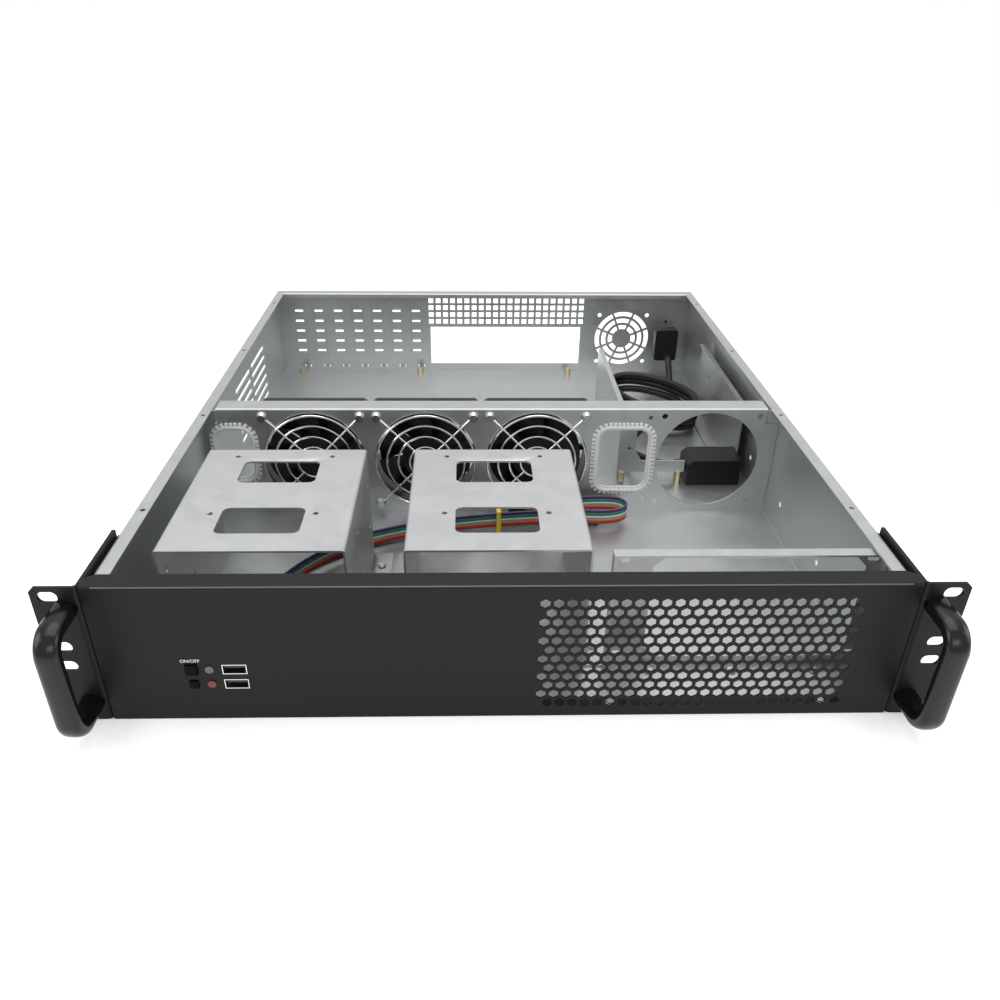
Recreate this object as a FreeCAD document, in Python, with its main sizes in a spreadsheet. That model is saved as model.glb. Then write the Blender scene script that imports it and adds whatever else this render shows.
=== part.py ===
"""Empty 2U rackmount server case, as a parametric FreeCAD document.

A galvanised steel tray with a black folded front panel, rack ears and bail handles, a fan wall
across the middle with three 80 mm fans and one spare fan hole, two drive brackets, a mount plate
behind the intake mesh, a power supply bay, seven slot covers and the leads that come with it.

Axes: X to the viewer's right, Y to the rear, Z up.  The origin is the middle of the tray's
underside.  Most bodies are drawn in a frame whose Y starts at the front face, so their Y is the
distance behind that face, and the body's Placement carries it to the case's own frame.
"""

import FreeCAD, Part
import math
import os
import re

import Sketcher

Vector = FreeCAD.Vector

# Driving dimensions in millimetres: alias, value, meaning.
SIZES = [
    ("caseDepth", 550.0, "front face to the outside of the rear panel"),
    ("bodyWidth", 430.0, "outside of the tray's side walls"),
    ("wallHeight", 85.5, "top of the side walls without the lid"),
    ("sheet", 1.2, "galvanised steel sheet"),
    ("bendRadius", 2.0, "outer radius of a folded edge"),
    ("sideFlange", 9.0, "inward flange along the top of each side wall"),
    ("lidHoleSize", 3.2, "lid screw hole in the side flange"),
    ("lidHoleFirst", 85.0, "first lid screw hole behind the front face"),
    ("lidHolePitch", 140.0, "spacing of the lid screw holes"),
    ("railHoleSize", 4.2, "slide rail screw hole in the side wall"),
    ("railHoleFirst", 41.0, "first slide rail hole behind the front face"),
    ("railHolePitch", 80.7, "spacing of the slide rail holes"),
    ("railHoleHeight", 23.4, "height of the slide rail holes"),
    ("ventSlotLength", 56.0, "vent slot in the left side wall"),
    ("ventSlotWidth", 4.0, "vent slot height"),
    ("ventSlotPitch", 9.0, "vertical spacing of the vent slots"),
    ("ventSlotStep", 62.0, "spacing of the vent slots along the wall"),
    ("ventSlotFirst", 334.0, "front end of the first vent slot"),
    ("ventSlotLow", 14.0, "height of the lowest vent slot"),
    ("panelHeight", 88.0, "front panel height"),
    ("panelSheet", 1.2, "black front panel sheet"),
    ("panelFlange", 12.5, "depth of the panel's top and bottom flanges"),
    ("panelSide", 60.0, "depth of the panel's side flanges"),
    ("panelCorner", 5.0, "corner cut at the ends of the panel's flanges"),
    ("hexFlats", 5.3, "mesh hole across flats"),
    ("hexPitch", 7.03, "mesh hole pitch along a row"),
    ("hexColumns", 24, "mesh holes in a row"),
    ("hexRows", 12, "mesh rows"),
    ("hexFirst", 20.6, "first mesh hole from the panel's middle"),
    ("hexTop", 76.4, "height of the top mesh row"),
    ("controlCentre", -158.4, "middle of the status lights across the panel"),
    ("controlPitch", 9.6, "spacing from the buttons to the status lights"),
    ("controlUpper", 34.8, "height of the upper row of controls"),
    ("controlLower", 24.8, "height of the lower row of controls"),
    ("powerButtonSize", 6.4, "side of the square power button"),
    ("resetButtonSize", 4.6, "side of the square reset button"),
    ("buttonClearance", 0.3, "gap round each button in its hole"),
    ("buttonProud", 1.2, "how far the buttons stand out of the face"),
    ("buttonTravel", 1.0, "button travel"),
    ("lightSize", 4.6, "diameter of the status lights"),
    ("usbWidth", 13.2, "USB port shell width"),
    ("usbHeight", 6.4, "USB port shell height"),
    ("usbCentre", -145.0, "middle of the USB ports across the panel"),
    ("boardBack", 15.0, "front of the control board behind the face"),
    ("boardSheet", 1.6, "thickness of the control board"),
    ("controlPostHeight", 15.0, "height of the posts that carry the control board"),
    ("earSpan", 482.6, "overall width over the rack ears"),
    ("earSheet", 2.0, "ear plate thickness"),
    ("earRadius", 3.6, "outer radius of the ear's bend"),
    ("earLeg", 58.0, "length of the ear's leg along the side"),
    ("earCorner", 2.5, "corner cut of the ear"),
    ("rackPitch", 465.1, "spacing of the rack slots across the case"),
    ("rackLow", 5.9, "height of the lowest rack slot"),
    ("rackInner", 31.75, "from an outer rack slot to the next inner one"),
    ("rackOuter", 76.2, "spacing of the outer rack slots"),
    ("slotLength", 10.4, "rack slot length"),
    ("slotWidth", 6.8, "rack slot height"),
    ("handleCentre", 225.0, "middle of each handle from the case's middle"),
    ("handleWidth", 13.0, "width of the handle's flat oval bar"),
    ("handleThick", 9.0, "thickness of the handle's bar"),
    ("handleReach", 33.0, "how far the handle stands out of the ear"),
    ("handleBend", 9.0, "bend radius along the middle of the bar"),
    ("handleLow", 13.2, "height of the lower handle foot"),
    ("handlePitch", 62.0, "spacing of the handle feet"),
    ("fanWallBack", 234.4, "front of the fan wall behind the face"),
    ("fanWallHeight", 86.3, "top of the fan wall"),
    ("fanWallTop", 203.3, "half width of the fan wall's upper part"),
    ("fanWallShoulder", 74.3, "height where the fan wall narrows"),
    ("fanWallFlange", 16.0, "depth of the fan wall's top flange"),
    ("fanWallFoot", 12.0, "depth of the fan wall's foot"),
    ("fanHoleSize", 77.0, "air hole in the fan wall"),
    ("fanScrewPitch", 71.5, "fan screw spacing"),
    ("fanHeight", 44.5, "height of the fan centres"),
    ("fanFirst", -134.6, "first fan centre"),
    ("fanPitch", 83.8, "spacing of the fans"),
    ("spareFan", 163.0, "centre of the spare fan hole"),
    ("fanSize", 80.0, "fan frame side"),
    ("fanDepth", 25.0, "fan frame depth"),
    ("fanBore", 76.4, "bore of the fan frame"),
    ("fanRim", 4.0, "thickness of the fan frame's flanges"),
    ("hubSize", 34.0, "rotor hub diameter"),
    ("shaftSize", 3.0, "rotor shaft diameter"),
    ("shaftClearance", 0.05, "radial running clearance of the shaft"),
    ("guardWire", 1.6, "fan guard wire"),
    ("windowHeightRight", 52.5, "right cable window height"),
    ("windowWidthRight", 42.0, "right cable window width"),
    ("windowRight", 98.3, "right cable window centre"),
    ("windowLeft", -192.9, "left cable window centre"),
    ("windowWidthLeft", 29.0, "left cable window width"),
    ("windowTop", 72.0, "top of both cable windows"),
    ("windowHeightLeft", 44.0, "left cable window height"),
    ("edgingLip", 3.4, "how far the edging covers the sheet round a window"),
    ("edgingInside", 1.6, "how far the edging lines a window"),
    ("edgingWall", 1.4, "thickness of the edging on each face"),
    ("driveWidth", 101.6, "width of the drive that a bracket takes"),
    ("driveClearance", 0.7, "gap on each side of the drive"),
    ("bracketHeight", 84.0, "top of the drive brackets"),
    ("bracketFront", 41.0, "front of the drive brackets behind the face"),
    ("bracketDepth", 129.0, "depth of the drive brackets"),
    ("bracketFoot", 14.0, "width of a drive bracket's foot"),
    ("bracketLeft", -139.6, "centre of the left drive bracket"),
    ("bracketRight", -2.3, "centre of the right drive bracket"),
    ("driveHoleX", 61.72, "drive screw spacing across"),
    ("driveHoleY", 76.6, "drive screw spacing along"),
    ("driveHoleSize", 3.4, "drive screw hole"),
    ("windowSideX", 48.8, "bracket window width"),
    ("windowSideY", 30.0, "bracket window depth"),
    ("windowFrontY", 75.0, "centre of the front bracket window behind the face"),
    ("windowRearY", 137.5, "centre of the rear bracket window behind the face"),
    ("mountBack", 41.0, "front of the mount plate behind the face"),
    ("mountLeft", 61.0, "left end of the mount plate"),
    ("mountHeight", 83.5, "top of the mount plate"),
    ("mountFlange", 6.0, "depth of the mount plate's flanges"),
    ("mountFoot", 13.0, "depth of the mount plate's foot"),
    ("openLeft", 84.3, "left side of the mount plate's opening"),
    ("openRight", 204.8, "right side of the mount plate's opening"),
    ("openLow", 9.0, "bottom of the mount plate's opening"),
    ("openHigh", 79.5, "top of the mount plate's opening"),
    ("openCorner", 7.0, "corner cut of the mount plate's opening"),
    ("bayLeft", 103.8, "left face of the power supply bay's left guide"),
    ("bayWidth", 100.4, "clear width of the power supply bay"),
    ("bayHeight", 65.0, "top of the bay's guides"),
    ("bayFront", 282.0, "front of the bay's left guide"),
    ("bayLeftRear", 430.0, "rear end of the left guide"),
    ("bayRightFront", 296.0, "front end of the right guide"),
    ("bayRightRear", 444.0, "rear end of the right guide"),
    ("bayFoot", 11.0, "width of the guides' feet"),
    ("bayHem", 4.0, "hem along the top of the guides"),
    ("stopLow", 11.0, "bottom of the bay's front stop"),
    ("stopHigh", 21.0, "top of the low part of the stop"),
    ("stopTall", 14.0, "width of the tall part of the stop"),
    ("stopRight", 56.0, "width of the whole stop"),
    ("standoffFlats", 5.0, "board standoff across flats"),
    ("standoffHeight", 6.5, "board standoff height above the floor"),
    ("boardColumnRight", 87.9, "right column of board standoffs"),
    ("boardColumnMiddle", 157.48, "right to middle column"),
    ("boardColumnLeft", 124.46, "middle to left column"),
    ("boardRowRear", 535.0, "rear row of board standoffs behind the face"),
    ("boardRowMiddle", 154.94, "rear to middle row"),
    ("boardRowFront", 72.39, "middle to front row"),
    ("rearFlange", 12.0, "depth of the rear panel's top flange"),
    ("rearHem", 4.5, "height of the hem along that flange"),
    ("ioWidth", 158.75, "input and output opening width"),
    ("ioHeight", 40.0, "input and output opening height"),
    ("ioCentre", 21.4, "input and output opening centre"),
    ("ioLow", 8.0, "bottom of the input and output opening"),
    ("cardPitch", 20.32, "spacing of the card slots"),
    ("cardFirst", -194.9, "centre of the first card slot"),
    ("cardCount", 7, "card slots"),
    ("cardWidth", 13.2, "card slot width"),
    ("cardLow", 14.0, "bottom of the card slots"),
    ("cardHigh", 73.0, "top of the card slots"),
    ("coverWidth", 18.4, "slot cover width"),
    ("coverSheet", 0.8, "slot cover thickness"),
    ("coverHook", 4.4, "middle of the cover's hook beside the cover's middle"),
    ("gridPitch", 7.5, "spacing of the rear vent holes"),
    ("gridHole", 5.0, "side of a rear vent hole"),
    ("gridColumns", 22, "rear vent columns"),
    ("gridRows", 4, "rear vent rows"),
    ("gridFirst", -57.0, "centre of the first rear vent column"),
    ("gridLow", 53.8, "height of the lowest rear vent row"),
    ("gridRowPitch", 7.2, "spacing of the rear vent rows"),
    ("exhaustCentre", 145.4, "centre of the rear fan grille"),
    ("exhaustHeight", 35.8, "height of the rear fan grille's centre"),
    ("exhaustSize", 57.0, "rear fan grille diameter"),
    ("exhaustPitch", 50.0, "rear fan screw spacing"),
    ("inletCentre", 191.0, "mains inlet centre"),
    ("inletHeight", 34.0, "mains inlet height"),
    ("inletPitch", 40.0, "mains inlet screw spacing"),
    ("mainsCord", 6.6, "mains lead diameter"),
    ("ribbonWidth", 12.0, "width of the control ribbon"),
    ("ribbonThick", 1.4, "thickness of the control ribbon"),
    ("usbCord", 4.4, "USB lead diameter"),
    ("screwHead", 6.0, "pan head diameter"),
    ("screwHeadHeight", 2.2, "pan head height"),
]

# Places of fasteners across the case.
PANEL_SCREWS = ("-181", "-61", "61", "181")
MOUNT_SCREWS = ("88", "137", "186")
CONTROL_POSTS = ("-179", "-135.6")

ALIASES = re.compile(r"\b(" + "|".join(sorted((s[0] for s in SIZES), key=len, reverse=True)) + r")\b")
PLANES = {"XY": "XY_Plane", "XZ": "XZ_Plane", "YZ": "YZ_Plane"}
BASE = "Placement.Base."

doc = FreeCAD.newDocument("RackCase")
sheet = doc.addObject("Spreadsheet::Sheet", "Sizes")
for row, (alias, number, meaning) in enumerate(SIZES, start=1):
    sheet.set("A%d" % row, meaning)
    sheet.set("B%d" % row, str(number))
    sheet.setAlias("B%d" % row, alias)
doc.recompute()


def bound(text):
    """Turn a formula in bare size names into a FreeCAD expression on the sheet."""
    return ALIASES.sub(r"Sizes.\1", str(text))


def value(text):
    """Return the number that a formula has now."""
    return float(sheet.evalExpression(bound(text)))


def place(item, x="0", y="0", z="0"):
    """Bind an object's position to formulas on the sheet."""
    for axis, formula in zip("xyz", (x, y, z)):
        item.setExpression(BASE + axis, bound(formula))


class Piece:
    """One PartDesign body: a separate physical piece of the case.

    Sketch coordinates are (X, Z) on the XZ plane, (X, Y) on XY and (Y, Z) on YZ.  `at` moves the
    sketch plane along +Y, +Z or +X.
    """

    def __init__(self, label, x="0", y="-caseDepth/2", z="0"):
        self.body = doc.addObject("PartDesign::Body", label)
        self.body.Label = label
        self.count = 0
        self.holed = False
        place(self.body, x, y, z)

    def name(self, kind):
        """Return a fresh name for a feature of this body."""
        self.count += 1
        return "%s_%s%d" % (self.body.Name, kind, self.count)

    def sketch(self, plane, at="0"):
        """Add an empty sketch on one of the body's own origin planes."""
        sketch = self.body.newObject("Sketcher::SketchObject", self.name("Sketch"))
        origin = [f for f in self.body.Origin.OriginFeatures if f.Role == PLANES[plane]][0]
        sketch.AttachmentSupport = [(origin, "")]
        sketch.MapMode = "FlatFace"
        sign = "-" if plane == "XZ" else ""
        if at != "0":
            sketch.setExpression("AttachmentOffset.Base.z", bound("%s(%s)" % (sign, at)))
        return sketch

    def pin(self, sketch, geometry, point, u, v):
        """Hold one point of a sketch at two formulas."""
        for kind, formula in (("DistanceX", u), ("DistanceY", v)):
            number = value(formula)
            index = sketch.addConstraint(Sketcher.Constraint(kind, -1, 1, geometry, point, number))
            sketch.setExpression("Constraints[%d]" % index, bound(formula))

    def polygon(self, sketch, points):
        """Draw a closed outline through points given as pairs of formulas."""
        corners = [Vector(value(u), value(v), 0) for u, v in points]
        first = sketch.GeometryCount
        count = len(points)
        for i in range(count):
            sketch.addGeometry(Part.LineSegment(corners[i], corners[(i + 1) % count]), False)
        for i in range(count):
            sketch.addConstraint(
                Sketcher.Constraint("Coincident", first + i, 2, first + (i + 1) % count, 1)
            )
        for i, (u, v) in enumerate(points):
            self.pin(sketch, first + i, 1, u, v)
        return sketch

    def box(self, sketch, u, v, width, height):
        """Draw a rectangle about a centre."""
        left, right = "(%s)-(%s)/2" % (u, width), "(%s)+(%s)/2" % (u, width)
        low, high = "(%s)-(%s)/2" % (v, height), "(%s)+(%s)/2" % (v, height)
        return self.polygon(sketch, [(left, low), (right, low), (right, high), (left, high)])

    def circle(self, sketch, u, v, diameter):
        """Draw a circle about a centre."""
        centre = Vector(value(u), value(v), 0)
        radius = value("(%s)/2" % diameter)
        geometry = sketch.addGeometry(Part.Circle(centre, Vector(0, 0, 1), radius), False)
        self.pin(sketch, geometry, 3, u, v)
        index = sketch.addConstraint(Sketcher.Constraint("Radius", geometry, radius))
        sketch.setExpression("Constraints[%d]" % index, bound("(%s)/2" % diameter))
        return sketch

    def stadium(self, sketch, u, v, length, width):
        """Draw a slot with round ends, its length along the sketch's first axis."""
        half = value("((%s)-(%s))/2" % (length, width))
        radius = value("(%s)/2" % width)
        cu, cv = value(u), value(v)
        up = Vector(0, 0, 1)
        right = Part.Circle(Vector(cu + half, cv, 0), up, radius)
        left = Part.Circle(Vector(cu - half, cv, 0), up, radius)
        quarter = math.pi / 2
        first = sketch.addGeometry(Part.ArcOfCircle(right, -quarter, quarter), False)
        sketch.addGeometry(
            Part.LineSegment(Vector(cu + half, cv + radius, 0), Vector(cu - half, cv + radius, 0)),
            False,
        )
        sketch.addGeometry(Part.ArcOfCircle(left, quarter, 3 * quarter), False)
        sketch.addGeometry(
            Part.LineSegment(Vector(cu - half, cv - radius, 0), Vector(cu + half, cv - radius, 0)),
            False,
        )
        for i in range(4):
            sketch.addConstraint(
                Sketcher.Constraint("Tangent", first + i, 2, first + (i + 1) % 4, 1)
            )
        self.pin(sketch, first, 3, "(%s)+((%s)-(%s))/2" % (u, length, width), v)
        self.pin(sketch, first + 2, 3, "(%s)-((%s)-(%s))/2" % (u, length, width), v)
        for geometry in (first, first + 2):
            index = sketch.addConstraint(Sketcher.Constraint("Radius", geometry, radius))
            sketch.setExpression("Constraints[%d]" % index, bound("(%s)/2" % width))
        return sketch

    def feature(self, kind, sketch, length, reverse=False, middle=False):
        """Add a pad or pocket of a sketch."""
        item = self.body.newObject("PartDesign::" + kind, self.name(kind))
        self.holed = self.holed or kind == "Pocket"
        item.Profile = sketch
        item.Refine = not self.holed
        if length == "through":
            item.Type = 1
        else:
            item.setExpression("Length", bound(length))
        item.Midplane = middle
        item.Reversed = reverse
        return item

    def pad(self, sketch, length, middle=False):
        """Add material from the sketch towards +X, +Y or +Z."""
        on_xz = sketch.AttachmentSupport[0][0].Role == PLANES["XZ"]
        return self.feature("Pad", sketch, length, on_xz and not middle, middle)

    def cut(self, sketch, length="through"):
        """Remove material, from the sketch towards +X, +Y or +Z, or right through both ways."""
        on_xz = sketch.AttachmentSupport[0][0].Role == PLANES["XZ"]
        middle = length == "through"
        return self.feature("Pocket", sketch, length, not on_xz and not middle, middle)

    def row(self, feature, sketch, axis, count, pitch, backwards=False):
        """Repeat a feature along one axis of its sketch."""
        pattern = self.body.newObject("PartDesign::LinearPattern", self.name("Row"))
        pattern.Originals = [feature]
        pattern.Refine = False
        self.direct(pattern, sketch, axis, count, pitch, backwards)
        self.body.Tip = pattern
        return pattern

    @staticmethod
    def direct(pattern, sketch, axis, count, pitch, backwards=False):
        """Set a linear pattern's direction, count and spacing."""
        pattern.Direction = (sketch, [axis])
        pattern.Reversed = backwards
        pattern.setExpression("Occurrences", bound(count))
        pattern.setExpression("Length", bound("(%s)*((%s)-1)" % (pitch, count)))

    def grid(self, feature, sketch, across, down):
        """Repeat a feature in rows and columns; across and down are (count, pitch)."""
        both = self.body.newObject("PartDesign::MultiTransform", self.name("Grid"))
        both.Originals = [feature]
        both.Refine = False
        steps = []
        for axis, (count, pitch) in (("H_Axis", across), ("V_Axis", down)):
            step = doc.addObject("PartDesign::LinearPattern", self.name("Step"))
            self.direct(step, sketch, axis, count, pitch)
            self.body.addObject(step)
            steps.append(step)
        both.Transformations = steps
        self.body.Tip = both
        return both

    def spin(self, feature, sketch, count):
        """Repeat a feature round the body's own Y axis."""
        pattern = self.body.newObject("PartDesign::PolarPattern", self.name("Spin"))
        pattern.Originals = [feature]
        axis = [f for f in self.body.Origin.OriginFeatures if f.Role == "Y_Axis"][0]
        pattern.Axis = (axis, [""])
        pattern.Angle = 360
        pattern.Occurrences = count
        self.body.Tip = pattern
        return pattern

    def edges(self, kind, size, wanted):
        """Fillet or chamfer the body's edges that `wanted` accepts."""
        doc.recompute()
        tip = self.body.Tip
        names = [
            "Edge%d" % (i + 1)
            for i, edge in enumerate(tip.Shape.Edges)
            if len(edge.Vertexes) == 2 and wanted(edge.Vertexes[0].Point, edge.Vertexes[1].Point)
        ]
        if not names:
            raise ValueError("%s: no edge to work on" % self.body.Label)
        item = self.body.newObject("PartDesign::" + kind, self.name(kind))
        item.Base = (tip, names)
        item.setExpression("Size" if kind == "Chamfer" else "Radius", bound(size))
        return item


def along(axis, *points):
    """Accept edges parallel to an axis that pass near one of the given points.

    Each point is a pair of formulas for the other two coordinates, in X, Y, Z order.
    """
    spots = [(value(a), value(b)) for a, b in points]
    others = [i for i in range(3) if i != axis]

    def wanted(start, end):
        a, b = (start[others[0]], start[others[1]]), (end[others[0]], end[others[1]])
        straight = max(abs(a[0] - b[0]), abs(a[1] - b[1])) < 0.01
        return straight and any(max(abs(a[0] - u), abs(a[1] - v)) < 0.01 for u, v in spots)

    return wanted


# --------------------------------------------------------------------------- sheet metal shell
def base_tray():
    """Floor, side walls and lid flanges, folded from one sheet."""
    tray = Piece("base_tray")
    half, wall, lip = "bodyWidth/2", "bodyWidth/2-sheet", "bodyWidth/2-sideFlange"
    right = [
        (half, "0"), (half, "wallHeight"), (lip, "wallHeight"), (lip, "wallHeight-sheet"),
        (wall, "wallHeight-sheet"), (wall, "sheet"),
    ]
    left = [("-(%s)" % x, z) for x, z in reversed(right)]
    fold = tray.polygon(tray.sketch("XZ", "panelSheet"), right + left)
    tray.pad(fold, "caseDepth-panelSheet")
    outer = [(half, "0"), (half, "wallHeight"), ("-(%s)" % half, "0"), ("-(%s)" % half, "wallHeight")]
    tray.edges("Fillet", "bendRadius", along(1, *outer))
    inner = [(wall, "sheet"), ("-(%s)" % wall, "sheet")]
    tray.edges("Fillet", "bendRadius-sheet", along(1, *inner))

    # The rear panel stands between the side walls, so the side flanges stop short of it.
    notch = tray.sketch("XY", "wallHeight-2*sheet")
    for side in ("-1", "1"):
        tray.box(notch, "%s*(bodyWidth/2-sideFlange/2-sheet/2)" % side, "caseDepth-rearFlange/2+1",
                 "sideFlange-sheet", "rearFlange+2")
    tray.cut(notch, "3*sheet")

    # A tab hangs from each side flange beside the fan wall's narrow upper part.
    tabs = tray.sketch("XZ", "fanWallBack")
    for side in ("-1", "1"):
        inside = "%s*(fanWallTop+0.4)" % side
        outside = "%s*(bodyWidth/2-sheet/2)" % side
        tray.polygon(tabs, [
            (inside, "wallHeight-sheet/2"), (outside, "wallHeight-sheet/2"),
            (outside, "fanWallShoulder+0.4"), ("%s*(fanWallTop+2.4)" % side, "fanWallShoulder+0.4"),
            (inside, "fanWallShoulder+2.4"),
        ])
    tray.pad(tabs, "sheet")

    # Lid screw holes in the flanges and slide rail holes in the side walls.
    lid = tray.sketch("XY")
    for side in ("-1", "1"):
        tray.circle(lid, "%s*(bodyWidth/2-sideFlange/2-0.6)" % side, "lidHoleFirst", "lidHoleSize")
    lid.setExpression("AttachmentOffset.Base.z", bound("wallHeight-3"))
    tray.row(tray.cut(lid, "6"), lid, "V_Axis", "4", "lidHolePitch")
    rail = tray.circle(tray.sketch("YZ"), "railHoleFirst", "railHoleHeight", "railHoleSize")
    tray.row(tray.cut(rail), rail, "H_Axis", "6", "railHolePitch")

    # Long vent slots low in the left wall, beside the main board.
    slot = tray.sketch("YZ", "-bodyWidth/2-1")
    tray.stadium(slot, "ventSlotFirst+ventSlotLength/2", "ventSlotLow", "ventSlotLength",
                 "ventSlotWidth")
    tray.grid(tray.cut(slot, "4"), slot, ("2", "ventSlotStep"), ("6", "ventSlotPitch"))
    return tray.body


def rear_panel():
    """Rear wall between the side walls, with its hemmed top flange and its openings."""
    rear = Piece("rear_panel")
    plate = rear.sketch("XZ", "caseDepth-sheet")
    rear.polygon(plate, [
        ("-bodyWidth/2+sheet", "sheet+bendRadius/2"), ("-bodyWidth/2+sheet+bendRadius/2", "sheet"),
        ("bodyWidth/2-sheet-bendRadius/2", "sheet"), ("bodyWidth/2-sheet", "sheet+bendRadius/2"),
        ("bodyWidth/2-sheet", "wallHeight"), ("-bodyWidth/2+sheet", "wallHeight"),
    ])
    rear.pad(plate, "sheet")
    hem = rear.sketch("YZ")
    rear.polygon(hem, [
        ("caseDepth-sheet/2", "wallHeight"), ("caseDepth-rearFlange", "wallHeight"),
        ("caseDepth-rearFlange", "wallHeight-rearHem"),
        ("caseDepth-rearFlange+sheet", "wallHeight-rearHem"),
        ("caseDepth-rearFlange+sheet", "wallHeight-sheet"),
        ("caseDepth-sheet/2", "wallHeight-sheet"),
    ])
    rear.pad(hem, "bodyWidth-2*sheet", middle=True)
    rear.edges("Fillet", "sheet*0.9", along(0, ("caseDepth-rearFlange", "wallHeight"),
                                            ("caseDepth", "wallHeight")))

    opening = rear.sketch("XZ", "caseDepth-3*sheet")
    rear.box(opening, "ioCentre", "ioLow+ioHeight/2", "ioWidth", "ioHeight")
    rear.cut(opening, "6*sheet")
    card = rear.sketch("XZ", "caseDepth-3*sheet")
    rear.box(card, "cardFirst", "(cardLow+cardHigh)/2", "cardWidth", "cardHigh-cardLow")
    rear.row(rear.cut(card, "6*sheet"), card, "H_Axis", "cardCount", "cardPitch")
    tongue = rear.sketch("XZ", "caseDepth-3*sheet")
    rear.box(tongue, "cardFirst+coverHook", "5.4", "7", "2.4")
    rear.row(rear.cut(tongue, "6*sheet"), tongue, "H_Axis", "cardCount", "cardPitch")

    # The grille of the rear fan: one round hole, then four bars and three rings put back.
    hole = rear.circle(rear.sketch("XZ", "caseDepth-3*sheet"), "exhaustCentre", "exhaustHeight",
                       "exhaustSize")
    rear.cut(hole, "6*sheet")
    for turn in (22.5, 67.5, 112.5, 157.5):
        ray = (math.cos(math.radians(turn)), math.sin(math.radians(turn)))
        bar = rear.sketch("XZ", "caseDepth-sheet")
        corners = []
        for run, width in ((-1, -1), (1, -1), (1, 1), (-1, 1)):
            along_u = "%.6f*(exhaustSize/2+0.5)*%d" % (ray[0], run)
            along_v = "%.6f*(exhaustSize/2+0.5)*%d" % (ray[1], run)
            corners.append(("exhaustCentre+%s-(%.6f)*1.1*%d" % (along_u, ray[1], width),
                            "exhaustHeight+%s+(%.6f)*1.1*%d" % (along_v, ray[0], width)))
        rear.polygon(bar, corners)
        rear.pad(bar, "sheet")
    for outer, inner in (("20", "0"), ("34", "29"), ("48", "43")):
        ring = rear.circle(rear.sketch("XZ", "caseDepth-sheet"), "exhaustCentre", "exhaustHeight",
                           outer)
        if inner != "0":
            rear.circle(ring, "exhaustCentre", "exhaustHeight", inner)
        rear.pad(ring, "sheet")
    holes = rear.sketch("XZ", "caseDepth-3*sheet")
    for u in ("-1", "1"):
        for v in ("-1", "1"):
            rear.circle(holes, "exhaustCentre+%s*exhaustPitch/2" % u,
                        "exhaustHeight+%s*exhaustPitch/2" % v, "4.2")
    for v in ("-1", "1"):
        rear.circle(holes, "inletCentre", "inletHeight+%s*inletPitch/2" % v, "3.2")
    rear.box(holes, "inletCentre", "inletHeight", "21", "28")
    rear.cut(holes, "6*sheet")

    # The vent grid comes last: each later feature would have to carry all its holes along.
    vent = rear.sketch("XZ", "caseDepth-3*sheet")
    rear.box(vent, "gridFirst", "gridLow", "gridHole", "gridHole")
    rear.grid(rear.cut(vent, "6*sheet"), vent, ("gridColumns", "gridPitch"),
              ("gridRows", "gridRowPitch"))
    return rear.body


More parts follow.
